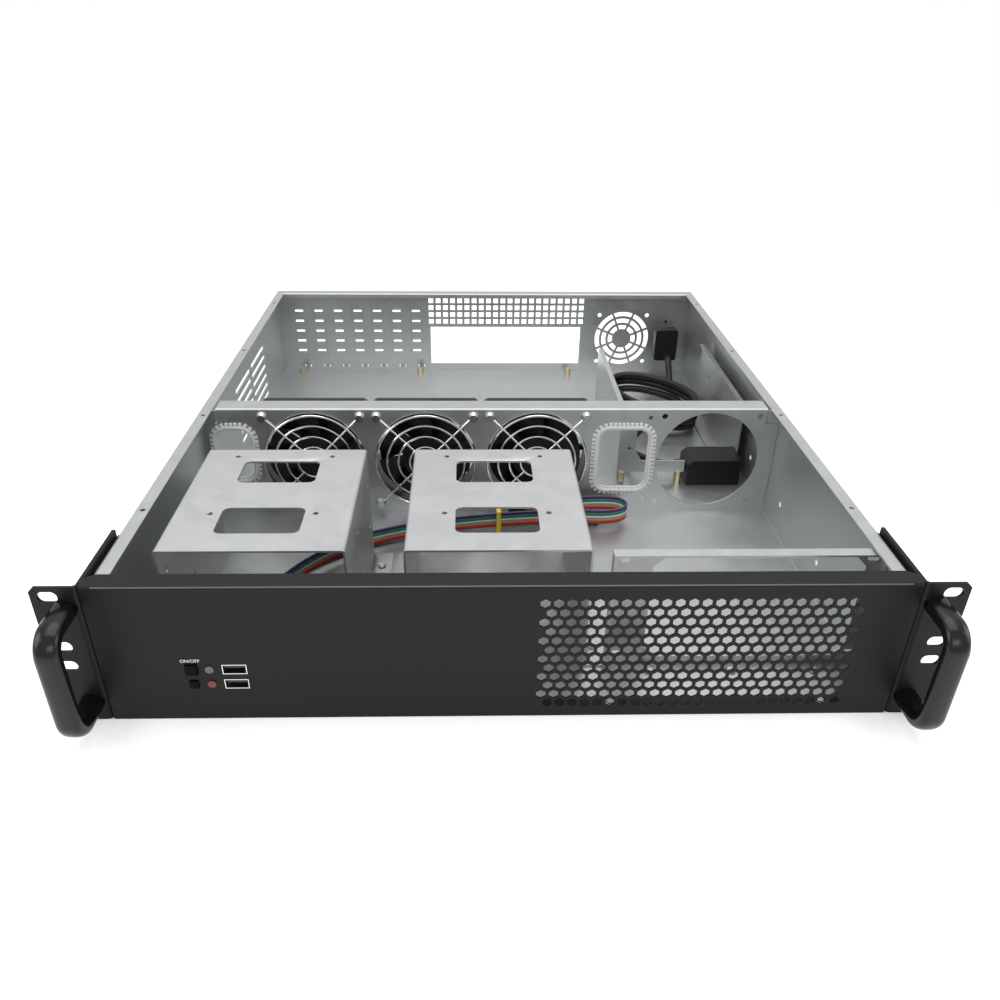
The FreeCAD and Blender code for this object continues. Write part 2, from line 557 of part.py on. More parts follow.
def front_panel():
    """Black face with folded edges, the intake mesh and the holes for the controls."""
    panel = Piece("front_panel")
    half = "bodyWidth/2+panelSheet"
    face = panel.sketch("XZ")
    panel.polygon(face, [("-(%s)" % half, "0"), (half, "0"), (half, "panelHeight"),
                         ("-(%s)" % half, "panelHeight")])
    panel.pad(face, "panelSheet")
    top = panel.sketch("XY", "panelHeight-panelSheet")
    panel.polygon(top, [
        ("-(%s)" % half, "panelSheet/2"), (half, "panelSheet/2"),
        (half, "panelFlange-panelCorner*0.7"), ("%s-panelCorner" % half, "panelFlange"),
        ("-(%s)+panelCorner" % half, "panelFlange"), ("-(%s)" % half, "panelFlange-panelCorner*0.7"),
    ])
    panel.pad(top, "panelSheet")
    low = panel.sketch("XY", "sheet")
    inner = "bodyWidth/2-sheet-1"
    panel.polygon(low, [
        ("-(%s)" % inner, "panelSheet/2"), (inner, "panelSheet/2"), (inner, "panelFlange-panelCorner"),
        ("%s-panelCorner" % inner, "panelFlange"), ("-(%s)+panelCorner" % inner, "panelFlange"),
        ("-(%s)" % inner, "panelFlange-panelCorner"),
    ])
    panel.pad(low, "panelSheet")
    sides = panel.sketch("XY", "bendRadius")
    for side in ("-1", "1"):
        panel.box(sides, "%s*(bodyWidth/2+panelSheet/2)" % side, "panelSide/2+panelSheet/4",
                  "panelSheet", "panelSide-panelSheet/2")
    panel.pad(sides, "wallHeight-2*bendRadius")
    panel.edges("Fillet", "bendRadius-0.3", along(0, ("0", "panelHeight")))

    holes = panel.sketch("XZ", "-1")
    panel.box(holes, "controlCentre-controlPitch", "controlUpper",
              "powerButtonSize+2*buttonClearance", "powerButtonSize+2*buttonClearance")
    panel.box(holes, "controlCentre-controlPitch", "controlLower",
              "resetButtonSize+2*buttonClearance", "resetButtonSize+2*buttonClearance")
    for v in ("controlUpper", "controlLower"):
        panel.circle(holes, "controlCentre", v, "lightSize+0.2")
        panel.box(holes, "usbCentre", v, "usbWidth+0.4", "usbHeight+0.4")
    panel.cut(holes, "4")

    # The mesh: two pointed hexagons, half a pitch apart, repeated in columns and pairs of rows.
    pair = panel.sketch("XZ", "-1")
    tall = "hexFlats/sqrt(3)"
    for u, rows_up in (("hexFirst", "1"), ("hexFirst+hexPitch/2", "0")):
        v = "hexTop-(hexRows-1-%s)*hexPitch*sqrt(3)/2" % rows_up
        panel.polygon(pair, [
            (u, "%s+%s" % (v, tall)), ("%s-hexFlats/2" % u, "%s+%s/2" % (v, tall)),
            ("%s-hexFlats/2" % u, "%s-%s/2" % (v, tall)), (u, "%s-%s" % (v, tall)),
            ("%s+hexFlats/2" % u, "%s-%s/2" % (v, tall)), ("%s+hexFlats/2" % u, "%s+%s/2" % (v, tall)),
        ])
    panel.grid(panel.cut(pair, "4"), pair, ("hexColumns", "hexPitch"),
               ("hexRows/2", "hexPitch*sqrt(3)"))
    return panel.body


def ear(label, side):
    """Rack ear: a thick plate beside the face, bent back along the tray's side."""
    piece = Piece(label)
    inner = "bodyWidth/2+panelSheet"
    outline = [
        (inner, "0"), ("earSpan/2", "0"), ("earSpan/2", "earSheet"),
        ("%s+earSheet" % inner, "earSheet"), ("%s+earSheet" % inner, "earLeg"), (inner, "earLeg"),
    ]
    profile = piece.sketch("XY")
    piece.polygon(profile, [("%d*(%s)" % (side, x), y) for x, y in outline])
    piece.pad(profile, "panelHeight")
    corner = [("%d*(%s)" % (side, inner), "0")]
    piece.edges("Fillet", "earRadius", along(2, *corner))
    corner = [("%d*(%s+earSheet)" % (side, inner), "earSheet")]
    piece.edges("Fillet", "earRadius-earSheet", along(2, *corner))
    tips = [("%d*earSpan/2" % side, "0"), ("%d*earSpan/2" % side, "panelHeight")]
    piece.edges("Chamfer", "earCorner", along(1, *tips))
    slots = piece.sketch("XZ", "-1")
    for height in ("rackLow", "rackLow+rackInner", "rackLow+rackOuter-rackInner",
                   "rackLow+rackOuter"):
        piece.stadium(slots, "%d*rackPitch/2" % side, height, "slotLength", "slotWidth")
    for height in ("handleLow", "handleLow+handlePitch"):
        piece.circle(slots, "%d*handleCentre" % side, height, "4.2")
    piece.cut(slots, "earSheet+2")
    screws = piece.sketch("YZ", "%d*(%s)-3" % (side, inner))
    for y, z in (("22", "16"), ("22", "panelHeight-16"), ("46", "panelHeight/2")):
        piece.circle(screws, y, z, "4.2")
    piece.cut(screws, "6+earSheet")
    return piece.body


def handle(label, side):
    """Bail handle of flat oval bar, bolted to the ear from behind."""
    piece = Piece(label, x="%d*handleCentre" % side, z="handleLow")
    foot = piece.sketch("XZ")
    piece.polygon(foot, [
        ("-handleWidth/2+2.6", "-handleThick/2"), ("handleWidth/2-2.6", "-handleThick/2"),
        ("handleWidth/2-0.7", "-handleThick/2+0.8"), ("handleWidth/2", "-handleThick/2+2.8"),
        ("handleWidth/2", "handleThick/2-2.8"), ("handleWidth/2-0.7", "handleThick/2-0.8"),
        ("handleWidth/2-2.6", "handleThick/2"), ("-handleWidth/2+2.6", "handleThick/2"),
        ("-handleWidth/2+0.7", "handleThick/2-0.8"), ("-handleWidth/2", "handleThick/2-2.8"),
        ("-handleWidth/2", "-handleThick/2+2.8"), ("-handleWidth/2+0.7", "-handleThick/2+0.8"),
    ])
    reach = value("handleReach-handleThick/2")
    bend, tall = value("handleBend"), value("handlePitch")
    path = piece.sketch("YZ")
    up = Vector(0, 0, 1)
    low = Part.Circle(Vector(bend - reach, bend, 0), up, bend)
    high = Part.Circle(Vector(bend - reach, tall - bend, 0), up, bend)
    path.addGeometry(Part.LineSegment(Vector(0, 0, 0), Vector(bend - reach, 0, 0)), False)
    path.addGeometry(Part.ArcOfCircle(low, math.pi, 1.5 * math.pi), False)
    path.addGeometry(Part.LineSegment(Vector(-reach, bend, 0), Vector(-reach, tall - bend, 0)), False)
    path.addGeometry(Part.ArcOfCircle(high, 0.5 * math.pi, math.pi), False)
    path.addGeometry(Part.LineSegment(Vector(bend - reach, tall, 0), Vector(0, tall, 0)), False)
    for first, end, second, start in ((0, 2, 1, 2), (1, 1, 2, 1), (2, 2, 3, 2), (3, 1, 4, 1)):
        path.addConstraint(Sketcher.Constraint("Tangent", first, end, second, start))
    piece.pin(path, 0, 1, "0", "0")
    piece.pin(path, 4, 2, "0", "handlePitch")
    piece.pin(path, 1, 3, "handleBend-handleReach+handleThick/2", "handleBend")
    piece.pin(path, 3, 3, "handleBend-handleReach+handleThick/2", "handlePitch-handleBend")
    pipe = piece.body.newObject("PartDesign::AdditivePipe", piece.name("Pipe"))
    pipe.Profile = foot
    pipe.Spine = path
    holes = piece.sketch("XZ", "-9")
    for height in ("0", "handlePitch"):
        piece.circle(holes, "0", height, "3.3")
    piece.cut(holes, "10")
    return piece.body


# ------------------------------------------------------------------------------- fan wall
def fan_wall():
    """Cross wall with three fan holes, a spare one and two cable windows."""
    wall = Piece("fan_wall")
    wide = "bodyWidth/2-sheet-0.2"
    plate = wall.sketch("XZ", "fanWallBack")
    wall.polygon(plate, [
        ("-(%s)" % wide, "sheet+bendRadius-sheet"), ("-(%s)+1.2" % wide, "sheet"),
        ("%s-1.2" % wide, "sheet"), (wide, "sheet+bendRadius-sheet"), (wide, "fanWallShoulder"),
        ("fanWallTop", "fanWallShoulder"), ("fanWallTop", "fanWallHeight"),
        ("-fanWallTop", "fanWallHeight"), ("-fanWallTop", "fanWallShoulder"),
        ("-(%s)" % wide, "fanWallShoulder"),
    ])
    wall.pad(plate, "sheet")
    top = wall.sketch("YZ")
    wall.polygon(top, [
        ("fanWallBack+sheet/2", "fanWallHeight-sheet"), ("fanWallBack+fanWallFlange", "fanWallHeight-sheet"),
        ("fanWallBack+fanWallFlange", "fanWallHeight"), ("fanWallBack+sheet/2", "fanWallHeight"),
    ])
    wall.pad(top, "2*fanWallTop", middle=True)
    foot = wall.sketch("YZ")
    wall.polygon(foot, [
        ("fanWallBack+sheet/2", "sheet"), ("fanWallBack+fanWallFoot", "sheet"),
        ("fanWallBack+fanWallFoot", "2*sheet"), ("fanWallBack+sheet/2", "2*sheet"),
    ])
    wall.pad(foot, "2*fanWallTop", middle=True)
    wall.edges("Fillet", "sheet*0.9", along(0, ("fanWallBack", "fanWallHeight")))

    def fan_opening(sketch, centre):
        wall.circle(sketch, centre, "fanHeight", "fanHoleSize")
        for u in ("-1", "1"):
            for v in ("-1", "1"):
                wall.circle(sketch, "%s+%s*fanScrewPitch/2" % (centre, u),
                            "fanHeight+%s*fanScrewPitch/2" % v, "4.6")

    fans = wall.sketch("XZ", "fanWallBack-1")
    fan_opening(fans, "fanFirst")
    wall.row(wall.cut(fans, "sheet+2"), fans, "H_Axis", "3", "fanPitch")
    spare = wall.sketch("XZ", "fanWallBack-1")
    fan_opening(spare, "spareFan")
    windows = [("windowRight", "windowWidthRight", "windowHeightRight"),
               ("windowLeft", "windowWidthLeft", "windowHeightLeft")]
    for u, width, height in windows:
        wall.box(spare, u, "windowTop-(%s)/2" % height, width, height)
    for u, v in (("windowRight-1.4", "fanHeight+34.6"), ("windowRight+18.6", "fanHeight+34.5"),
                 ("windowRight-1.8", "fanHeight-33"), ("windowRight+19.2", "fanHeight-33.4")):
        wall.circle(spare, u, v, "3.6")
    wall.cut(spare, "sheet+2")
    corners = []
    for u, width, height in windows:
        for s in ("-1", "1"):
            for v in ("windowTop", "windowTop-%s" % height):
                corners.append(("%s+%s*%s/2" % (u, s, width), v))
    wall.edges("Fillet", "10", along(1, *corners))
    return wall.body


def edging(label, centre, width, height):
    """Plastic edging strip clipped round a cable window: a lip on each face and a lining."""
    piece = Piece(label)
    middle = "windowTop-(%s)/2" % height
    layers = (
        ("fanWallBack-edgingWall", "edgingWall", "edgingLip"),
        ("fanWallBack-0.01", "sheet+0.02", "0"),
        ("fanWallBack+sheet", "edgingWall", "edgingLip"),
    )
    for at, depth, lip in layers:
        ring = piece.sketch("XZ", at)
        for grow, corner in (("2*(%s)" % lip, 10 + value(lip)), ("-2*edgingInside", 8.4)):
            w, h = "((%s)+%s)/2" % (width, grow), "((%s)+%s)/2" % (height, grow)
            points = []
            for quarter, (su, sv) in enumerate(((1, 1), (-1, 1), (-1, -1), (1, -1))):
                for step in range(4):
                    angle = math.radians(90 * quarter + 30 * step)
                    du, dv = corner * math.cos(angle), corner * math.sin(angle)
                    points.append(("%s+%d*(%s-%.3f)+(%.4f)" % (centre, su, w, corner, du),
                                   "%s+%d*(%s-%.3f)+(%.4f)" % (middle, sv, h, corner, dv)))
            piece.polygon(ring, points)
        piece.pad(ring, depth)
    return piece.body


def fan_frame(index):
    """Square fan housing with a round bore, motor mount, four struts and a bearing tube."""
    piece = Piece("fan_frame_%d" % (index + 1), x="fanFirst+%d*fanPitch" % index,
                  y="-caseDepth/2+fanWallBack+sheet", z="fanHeight")
    block = piece.box(piece.sketch("XZ"), "0", "0", "fanSize", "fanSize")
    piece.pad(block, "fanDepth")
    corners = [("%s*fanSize/2" % a, "%s*fanSize/2" % b) for a in ("-1", "1") for b in ("-1", "1")]
    piece.edges("Fillet", "4", along(1, *corners))
    piece.cut(piece.circle(piece.sketch("XZ", "-1"), "0", "0", "fanBore"), "fanDepth+2")
    waist = piece.box(piece.sketch("XZ", "fanRim"), "0", "0", "fanSize+2", "fanSize+2")
    piece.circle(waist, "0", "0", "fanSize-0.6")
    piece.cut(waist, "fanDepth-2*fanRim")
    holes = piece.sketch("XZ", "-1")
    for u in ("-1", "1"):
        for v in ("-1", "1"):
            piece.circle(holes, "%s*fanScrewPitch/2" % u, "%s*fanScrewPitch/2" % v, "4.3")
    piece.cut(holes, "fanDepth+2")
    for width, height in (("fanBore+1", "4.4"), ("4.4", "fanBore+1")):
        strut = piece.box(piece.sketch("XZ", "fanDepth-3"), "0", "0", width, height)
        piece.pad(strut, "3")
    piece.pad(piece.circle(piece.sketch("XZ", "fanDepth-3.5"), "0", "0", "hubSize"), "3.5")
    piece.pad(piece.circle(piece.sketch("XZ", "9"), "0", "0", "9"), "fanDepth-12")
    bore = piece.circle(piece.sketch("XZ", "8"), "0", "0", "shaftSize+2*shaftClearance")
    piece.cut(bore, "fanDepth-12")
    return piece.body


def fan_rotor(index):
    """Seven-bladed rotor: a cup hub on a shaft that runs in the housing's bearing tube."""
    piece = Piece("fan_rotor_%d" % (index + 1), x="fanFirst+%d*fanPitch" % index,
                  y="-caseDepth/2+fanWallBack+sheet", z="fanHeight")
    piece.pad(piece.circle(piece.sketch("XZ", "3"), "0", "0", "hubSize"), "17")
    piece.cut(piece.circle(piece.sketch("XZ", "5"), "0", "0", "hubSize-4"), "18")
    piece.pad(piece.circle(piece.sketch("XZ", "4.5"), "0", "0", "shaftSize"), "fanDepth-10")
    sections = []
    for at, front, back, across in (("hubSize/2-0.6", "4.6", "17", "12"),
                                    ("fanBore/2-3.9", "6", "14.5", "24")):
        section = piece.sketch("YZ", at)
        piece.polygon(section, [(front, "-(%s)/2" % across), ("%s+1.5" % front, "-(%s)/2" % across),
                                ("%s+1.5" % back, "(%s)/2" % across), (back, "(%s)/2" % across)])
        sections.append(section)
    loft = piece.body.newObject("PartDesign::AdditiveLoft", piece.name("Blade"))
    loft.Profile = sections[0]
    loft.Sections = [sections[1]]
    doc.recompute()
    piece.spin(loft, sections[0], 7)
    return piece.body


def fan_guard(index):
    """Wire finger guard: four rings and four legs that end in loops under the fan screws."""
    piece = Piece("fan_guard_%d" % (index + 1), x="fanFirst+%d*fanPitch" % index,
                  y="-caseDepth/2+fanWallBack", z="fanHeight")
    for turn in (45, 135):
        ray = (math.cos(math.radians(turn)), math.sin(math.radians(turn)))
        leg = piece.sketch("XZ", "-guardWire")
        corners = []
        for run, width in ((-1, -1), (1, -1), (1, 1), (-1, 1)):
            reach = "(fanScrewPitch/sqrt(2)-3)*%d" % run
            corners.append(("%.6f*%s-(%.6f)*guardWire/2*%d" % (ray[0], reach, ray[1], width),
                            "%.6f*%s+(%.6f)*guardWire/2*%d" % (ray[1], reach, ray[0], width)))
        piece.polygon(leg, corners)
        piece.pad(leg, "guardWire")
    for size in (26, 43, 60, 76):
        ring = piece.circle(piece.sketch("XZ", "-2*guardWire"), "0", "0", str(size))
        piece.circle(ring, "0", "0", "%d-2*guardWire" % size)
        piece.pad(ring, "guardWire*1.2")
    loops = piece.sketch("XZ", "-guardWire")
    for u in ("-1", "1"):
        for v in ("-1", "1"):
            piece.circle(loops, "%s*fanScrewPitch/2" % u, "%s*fanScrewPitch/2" % v, "7.6")
            piece.circle(loops, "%s*fanScrewPitch/2" % u, "%s*fanScrewPitch/2" % v, "4.5")
    piece.pad(loops, "guardWire")
    return piece.body


# ----------------------------------------------------------------------- brackets and bay
def drive_bracket(label, centre):
    """Drive bracket folded like a table: a holed top, two side walls and two feet."""
    piece = Piece(label, x=centre)
    inside = "(driveWidth/2+driveClearance)"
    outside = "(driveWidth/2+driveClearance+sheet)"
    right = [
        (inside, "sheet"), ("%s+bracketFoot" % outside, "sheet"), ("%s+bracketFoot" % outside, "2*sheet"),
        (outside, "2*sheet"), (outside, "bracketHeight"),
    ]
    left = [("-(%s)" % x, z) for x, z in reversed(right)]
    low = [("-(%s)" % inside, "bracketHeight-sheet"), (inside, "bracketHeight-sheet")]
    fold = piece.sketch("XZ", "bracketFront")
    piece.polygon(fold, right + left + low)
    piece.pad(fold, "bracketDepth")
    piece.edges("Fillet", "bendRadius", along(1, (outside, "bracketHeight"),
                                              ("-(%s)" % outside, "bracketHeight")))
    windows = piece.sketch("XY", "bracketHeight-3")
    for y in ("windowFrontY", "windowRearY"):
        w, h, c = "windowSideX/2", "windowSideY/2", "6"
        spots = []
        for su, sv, order in ((1, -1, 0), (1, 1, 1), (-1, 1, 0), (-1, -1, 1)):
            pair = [("%d*(%s-%s)" % (su, w, c), "%s+%d*%s" % (y, sv, h)),
                    ("%d*%s" % (su, w), "%s+%d*(%s-%s)" % (y, sv, h, c))]
            spots += pair[::-1] if order else pair
        piece.polygon(windows, spots)
    for u in ("-1", "1"):
        for v in ("-1", "1"):
            piece.circle(windows, "%s*driveHoleX/2" % u, "bracketFront+80.3+%s*driveHoleY/2" % v,
                         "driveHoleSize")
    piece.cut(windows, "6")
    sides = piece.sketch("YZ")
    for y in ("bracketFront+14", "bracketFront+55.6", "bracketFront+115"):
        for z in ("bracketHeight-sheet-19.5", "bracketHeight-sheet-49.5"):
            piece.circle(sides, y, z, "driveHoleSize")
    piece.cut(sides)
    feet = piece.sketch("XY", "0")
    for u in ("-1", "1"):
        for y in ("bracketFront+18", "bracketFront+bracketDepth-18"):
            piece.circle(feet, "%s*(%s+bracketFoot/2)" % (u, outside), y, "4")
    piece.cut(feet, "3*sheet")
    return piece.body


def mount_plate():
    """Shallow pan behind the intake mesh, with a large opening cut at the corners."""
    piece = Piece("mount_plate")
    right = "bodyWidth/2-sheet-0.2"
    beside = "bracketRight+driveWidth/2+driveClearance+sheet+bracketFoot+0.4"
    plate = piece.sketch("XZ", "mountBack")
    piece.polygon(plate, [
        (beside, "sheet"), ("%s-bendRadius/2" % right, "sheet"), (right, "sheet+bendRadius/2"),
        (right, "mountHeight"), ("mountLeft", "mountHeight"), ("mountLeft", "2*sheet+0.4"),
        (beside, "2*sheet+0.4"),
    ])
    piece.pad(plate, "sheet")
    rim = piece.sketch("XZ", "mountBack-mountFlange")
    piece.polygon(rim, [
        ("mountLeft", "2*sheet"), ("mountLeft+sheet", "2*sheet"), ("mountLeft+sheet", "mountHeight-sheet"),
        ("%s-sheet" % right, "mountHeight-sheet"), ("%s-sheet" % right, "2*sheet"), (right, "2*sheet"),
        (right, "mountHeight"), ("mountLeft", "mountHeight"),
    ])
    piece.pad(rim, "mountFlange+sheet/2")
    foot = piece.sketch("XY", "sheet")
    piece.polygon(foot, [
        (beside, "mountBack-mountFoot"), ("%s-3" % right, "mountBack-mountFoot"),
        ("%s-3" % right, "mountBack+sheet/2"), (beside, "mountBack+sheet/2"),
    ])
    piece.pad(foot, "sheet")
    opening = piece.sketch("XZ", "mountBack-1")
    piece.polygon(opening, [
        ("openLeft+openCorner", "openLow"), ("openRight-openCorner", "openLow"),
        ("openRight", "openLow+openCorner"), ("openRight", "openHigh-openCorner"),
        ("openRight-openCorner", "openHigh"), ("openLeft+openCorner", "openHigh"),
        ("openLeft", "openHigh-openCorner"), ("openLeft", "openLow+openCorner"),
    ])
    for u in ("mountLeft+7.3", "%s-6" % right):
        for v in ("mountHeight-5.6", "2*sheet+9"):
            piece.stadium(opening, u, v, "6.6", "4.2")
    piece.cut(opening, "sheet+2")
    screws = piece.sketch("XY", "0")
    for u in MOUNT_SCREWS:
        piece.circle(screws, u, "mountBack-mountFoot/2", "4")
    piece.cut(screws, "3*sheet")
    return piece.body


def bay_guide_left():
    """Left guide of the power supply bay, with its foot, hem and front stop."""
    piece = Piece("bay_guide_left")
    profile = piece.sketch("XZ", "bayFront")
    piece.polygon(profile, [
        ("bayLeft", "sheet"), ("bayLeft+bayFoot", "sheet"), ("bayLeft+bayFoot", "2*sheet"),
        ("bayLeft+sheet", "2*sheet"), ("bayLeft+sheet", "bayHeight-sheet"),
        ("bayLeft+bayHem", "bayHeight-sheet"), ("bayLeft+bayHem", "bayHeight"), ("bayLeft", "bayHeight"),
    ])
    piece.pad(profile, "bayLeftRear-bayFront")
    stop = piece.sketch("XZ", "bayFront")
    piece.polygon(stop, [
        ("bayLeft", "stopLow"), ("bayLeft+stopRight", "stopLow"), ("bayLeft+stopRight", "stopHigh"),
        ("bayLeft+stopTall+6", "stopHigh"), ("bayLeft+stopTall", "stopHigh+9"),
        ("bayLeft+stopTall", "bayHeight"), ("bayLeft", "bayHeight"),
    ])
    piece.pad(stop, "sheet")
    hole = piece.circle(piece.sketch("XZ", "bayFront-1"), "bayLeft+9", "32", "3.4")
    piece.cut(hole, "sheet+2")
    holes = piece.sketch("YZ", "bayLeft-1")
    for y in ("bayRightFront+71", "bayRightFront+112"):
        piece.circle(holes, y, "45.3", "3.8")
    piece.cut(holes, "sheet+2")
    feet = piece.sketch("XY", "0")
    for y in ("bayFront+30", "bayLeftRear-20"):
        piece.circle(feet, "bayLeft+bayFoot/2+0.6", y, "3.6")
    piece.cut(feet, "3*sheet")
    return piece.body


def bay_guide_right():
    """Right guide of the power supply bay, near the tray's side wall."""
    piece = Piece("bay_guide_right")
    face = "bayLeft+sheet+bayWidth"
    profile = piece.sketch("XZ", "bayRightFront")
    piece.polygon(profile, [
        ("%s-bayFoot+sheet" % face, "sheet"), ("%s+sheet" % face, "sheet"),
        ("%s+sheet" % face, "bayHeight"), ("%s-bayHem+sheet" % face, "bayHeight"),
        ("%s-bayHem+sheet" % face, "bayHeight-sheet"), (face, "bayHeight-sheet"), (face, "2*sheet"),
        ("%s-bayFoot+sheet" % face, "2*sheet"),
    ])
    piece.pad(profile, "bayRightRear-bayRightFront")
    corner = piece.box(piece.sketch("XY", "0"), "%s-bayFoot/2" % face, "bayRightFront", "bayFoot",
                       "22")
    piece.cut(corner, "2.5*sheet")
    holes = piece.sketch("YZ", "%s-1" % face)
    for y in ("bayRightFront+71", "bayRightFront+112"):
        piece.circle(holes, y, "45.3", "3.8")
    piece.cut(holes, "sheet+2")
    feet = piece.sketch("XY", "0")
    for y in ("bayRightFront+20", "bayRightRear-20"):
        piece.circle(feet, "%s-bayFoot/2+0.6" % face, y, "3.6")
    piece.cut(feet, "3*sheet")
    return piece.body


# ------------------------------------------------------------------ groups of like fasteners
def group_of(label, items):
    """Gather like loose pieces in one object, each a solid of its own."""
    group = doc.addObject("Part::Compound", label)
    group.Label = label
    group.Links = items
    return group


def hex_post(name, flats, x, y, z, height):
    """Hexagonal post with its sizes bound to the sheet."""
    prism = doc.addObject("Part::Prism", name)
    prism.Polygon = 6
    prism.setExpression("Circumradius", bound("(%s)/sqrt(3)" % flats))
    prism.setExpression("Height", bound(height))
    place(prism, x, y, z)
    return prism


def plain_box(name, x, y, z, width, depth, height):
    """Box with its sizes bound to the sheet; y is behind the front face."""
    block = doc.addObject("Part::Box", name)
    for size, formula in (("Length", width), ("Width", depth), ("Height", height)):
        block.setExpression(size, bound(formula))
    place(block, x, "-caseDepth/2+%s" % y, z)
    return block


def screw(name, x, y, z, axis, shank, length, head="screwHead", tall="screwHeadHeight"):
    """Pan head screw as one fused solid; axis is the way that its shank points.

    The point given is the middle of the head's underside.
    """
    turns = {
        "+Z": (Vector(1, 0, 0), 0), "-Z": (Vector(1, 0, 0), 180), "+Y": (Vector(1, 0, 0), -90),
        "-Y": (Vector(1, 0, 0), 90), "+X": (Vector(0, 1, 0), 90), "-X": (Vector(0, 1, 0), -90),
    }
    stem = doc.addObject("Part::Cylinder", name + "_shank")
    stem.setExpression("Radius", bound("(%s)/2" % shank))
    stem.setExpression("Height", bound("%s+0.5" % length))
    place(stem, z="-0.5")
    cap = doc.addObject("Part::Cone", name + "_head")
    cap.setExpression("Radius1", bound("(%s)/2-0.9" % head))
    cap.setExpression("Radius2", bound("(%s)/2" % head))
    cap.setExpression("Height", bound(tall))
    place(cap, z="-(%s)" % tall)
    whole = doc.addObject("Part::Fuse", name)
    whole.Base = cap
    whole.Tool = stem
    whole.Placement.Rotation = FreeCAD.Rotation(*turns[axis])
    place(whole, x, y, z)
    return whole


def screw_group(label, spots, axis, shank, length, **sizes):
    """Screws of one kind: spots are (x, y behind the front face, z) formulas."""
    items = []
    for i, (x, y, z) in enumerate(spots):
        items.append(screw("%s_%d" % (label, i + 1), x, "-caseDepth/2+%s" % y, z, axis, shank,
                           length, **sizes))
    return group_of(label, items)


def fasteners():
    """All the screw groups and standoff groups of the case."""
    groups = []
    pairs = [(u, v) for u in ("-1", "1") for v in ("-1", "1")]
    spots = [
        ("fanFirst+%d*fanPitch+%s*fanScrewPitch/2" % (i, u), "fanWallBack-guardWire",
         "fanHeight+%s*fanScrewPitch/2" % v)
        for i in range(3) for u, v in pairs
    ]
    groups.append(screw_group("fan_screws", spots, "+Y", "4", "9", head="7.4", tall="2.6"))
    foot = "(driveWidth/2+driveClearance+sheet+bracketFoot/2)"
    spots = [
        ("%s+%s*%s" % (centre, u, foot), y, "2*sheet")
        for centre in ("bracketLeft", "bracketRight") for u in ("-1", "1")
        for y in ("bracketFront+18", "bracketFront+bracketDepth-18")
    ]
    spots += [(x, "mountBack-mountFoot/2", "2*sheet") for x in MOUNT_SCREWS]
    spots += [(x, "panelFlange/2+0.6", "sheet+panelSheet") for x in PANEL_SCREWS]
    spots += [("bayLeft+bayFoot/2+0.6", y, "2*sheet") for y in ("bayFront+30", "bayLeftRear-20")]
    spots += [("bayLeft+sheet+bayWidth-bayFoot/2+0.6", y, "2*sheet")
              for y in ("bayRightFront+20", "bayRightRear-20")]
    items = [
        screw("tray_screw_%d" % i, x, "-caseDepth/2+%s" % y, z, "-Z", "3", "2*sheet")
        for i, (x, y, z) in enumerate(spots)
    ]
    items += [
        screw("control_screw_%d" % i, x, "-caseDepth/2+boardBack+boardSheet", "controlPostHeight",
              "-Y", "3", "boardSheet+0.2")
        for i, x in enumerate(CONTROL_POSTS)
    ]
    groups.append(group_of("small_screws", items))
    side = "(bodyWidth/2+panelSheet+earSheet)"
    spots = [("22", "16"), ("22", "panelHeight-16"), ("46", "panelHeight/2")]
    items = []
    for sign, axis in (("-", "+X"), ("", "-X")):
        for y, z in spots:
            items.append(screw("ear_screw_%d" % len(items), sign + side, "-caseDepth/2+%s" % y, z,
                               axis, "4", "earSheet+panelSheet+sheet", tall="1.8"))
    groups.append(group_of("ear_screws", items))
    spots = [
        ("%s*handleCentre" % s, "earSheet", z) for s in ("-1", "1")
        for z in ("handleLow", "handleLow+handlePitch")
    ]
    groups.append(screw_group("handle_screws", spots, "-Y", "3.3", "10", head="7"))
    spots = [("cardFirst+cardPitch*%d" % i, "caseDepth+coverSheet", "cardHigh+7") for i in range(7)]
    spots += [("inletCentre", "caseDepth+2.6", "inletHeight+%s*inletPitch/2" % v)
              for v in ("-1", "1")]
    groups.append(screw_group("rear_screws", spots, "-Y", "3", "4"))

    columns = ("boardColumnRight", "boardColumnRight-boardColumnMiddle",
               "boardColumnRight-boardColumnMiddle-boardColumnLeft")
    rows = ("boardRowRear", "boardRowRear-boardRowMiddle",
            "boardRowRear-boardRowMiddle-boardRowFront")
    items = []
    for i, x in enumerate(columns):
        for j, y in enumerate(rows):
            items.append(hex_post("board_post_%d%d" % (i, j), "standoffFlats", x,
                                  "-caseDepth/2+%s" % y, "sheet", "standoffHeight"))
    for i, (x, foot) in enumerate((("bayLeft+4.2", "2*sheet"), ("bayLeft+stopRight-5", "sheet"))):
        items.append(hex_post("bay_post_%d" % i, "standoffFlats", x,
                              "-caseDepth/2+bayFront+sheet/2", foot, "stopLow-" + foot))
    for i, x in enumerate(CONTROL_POSTS):
        post = hex_post("control_post_%d" % i, "standoffFlats", x, "-caseDepth/2+panelSheet",
                        "controlPostHeight", "boardBack-panelSheet")
        post.Placement.Rotation = FreeCAD.Rotation(Vector(1, 0, 0), -90)
        items.append(post)
    groups.append(group_of("standoffs", items))
    return groups


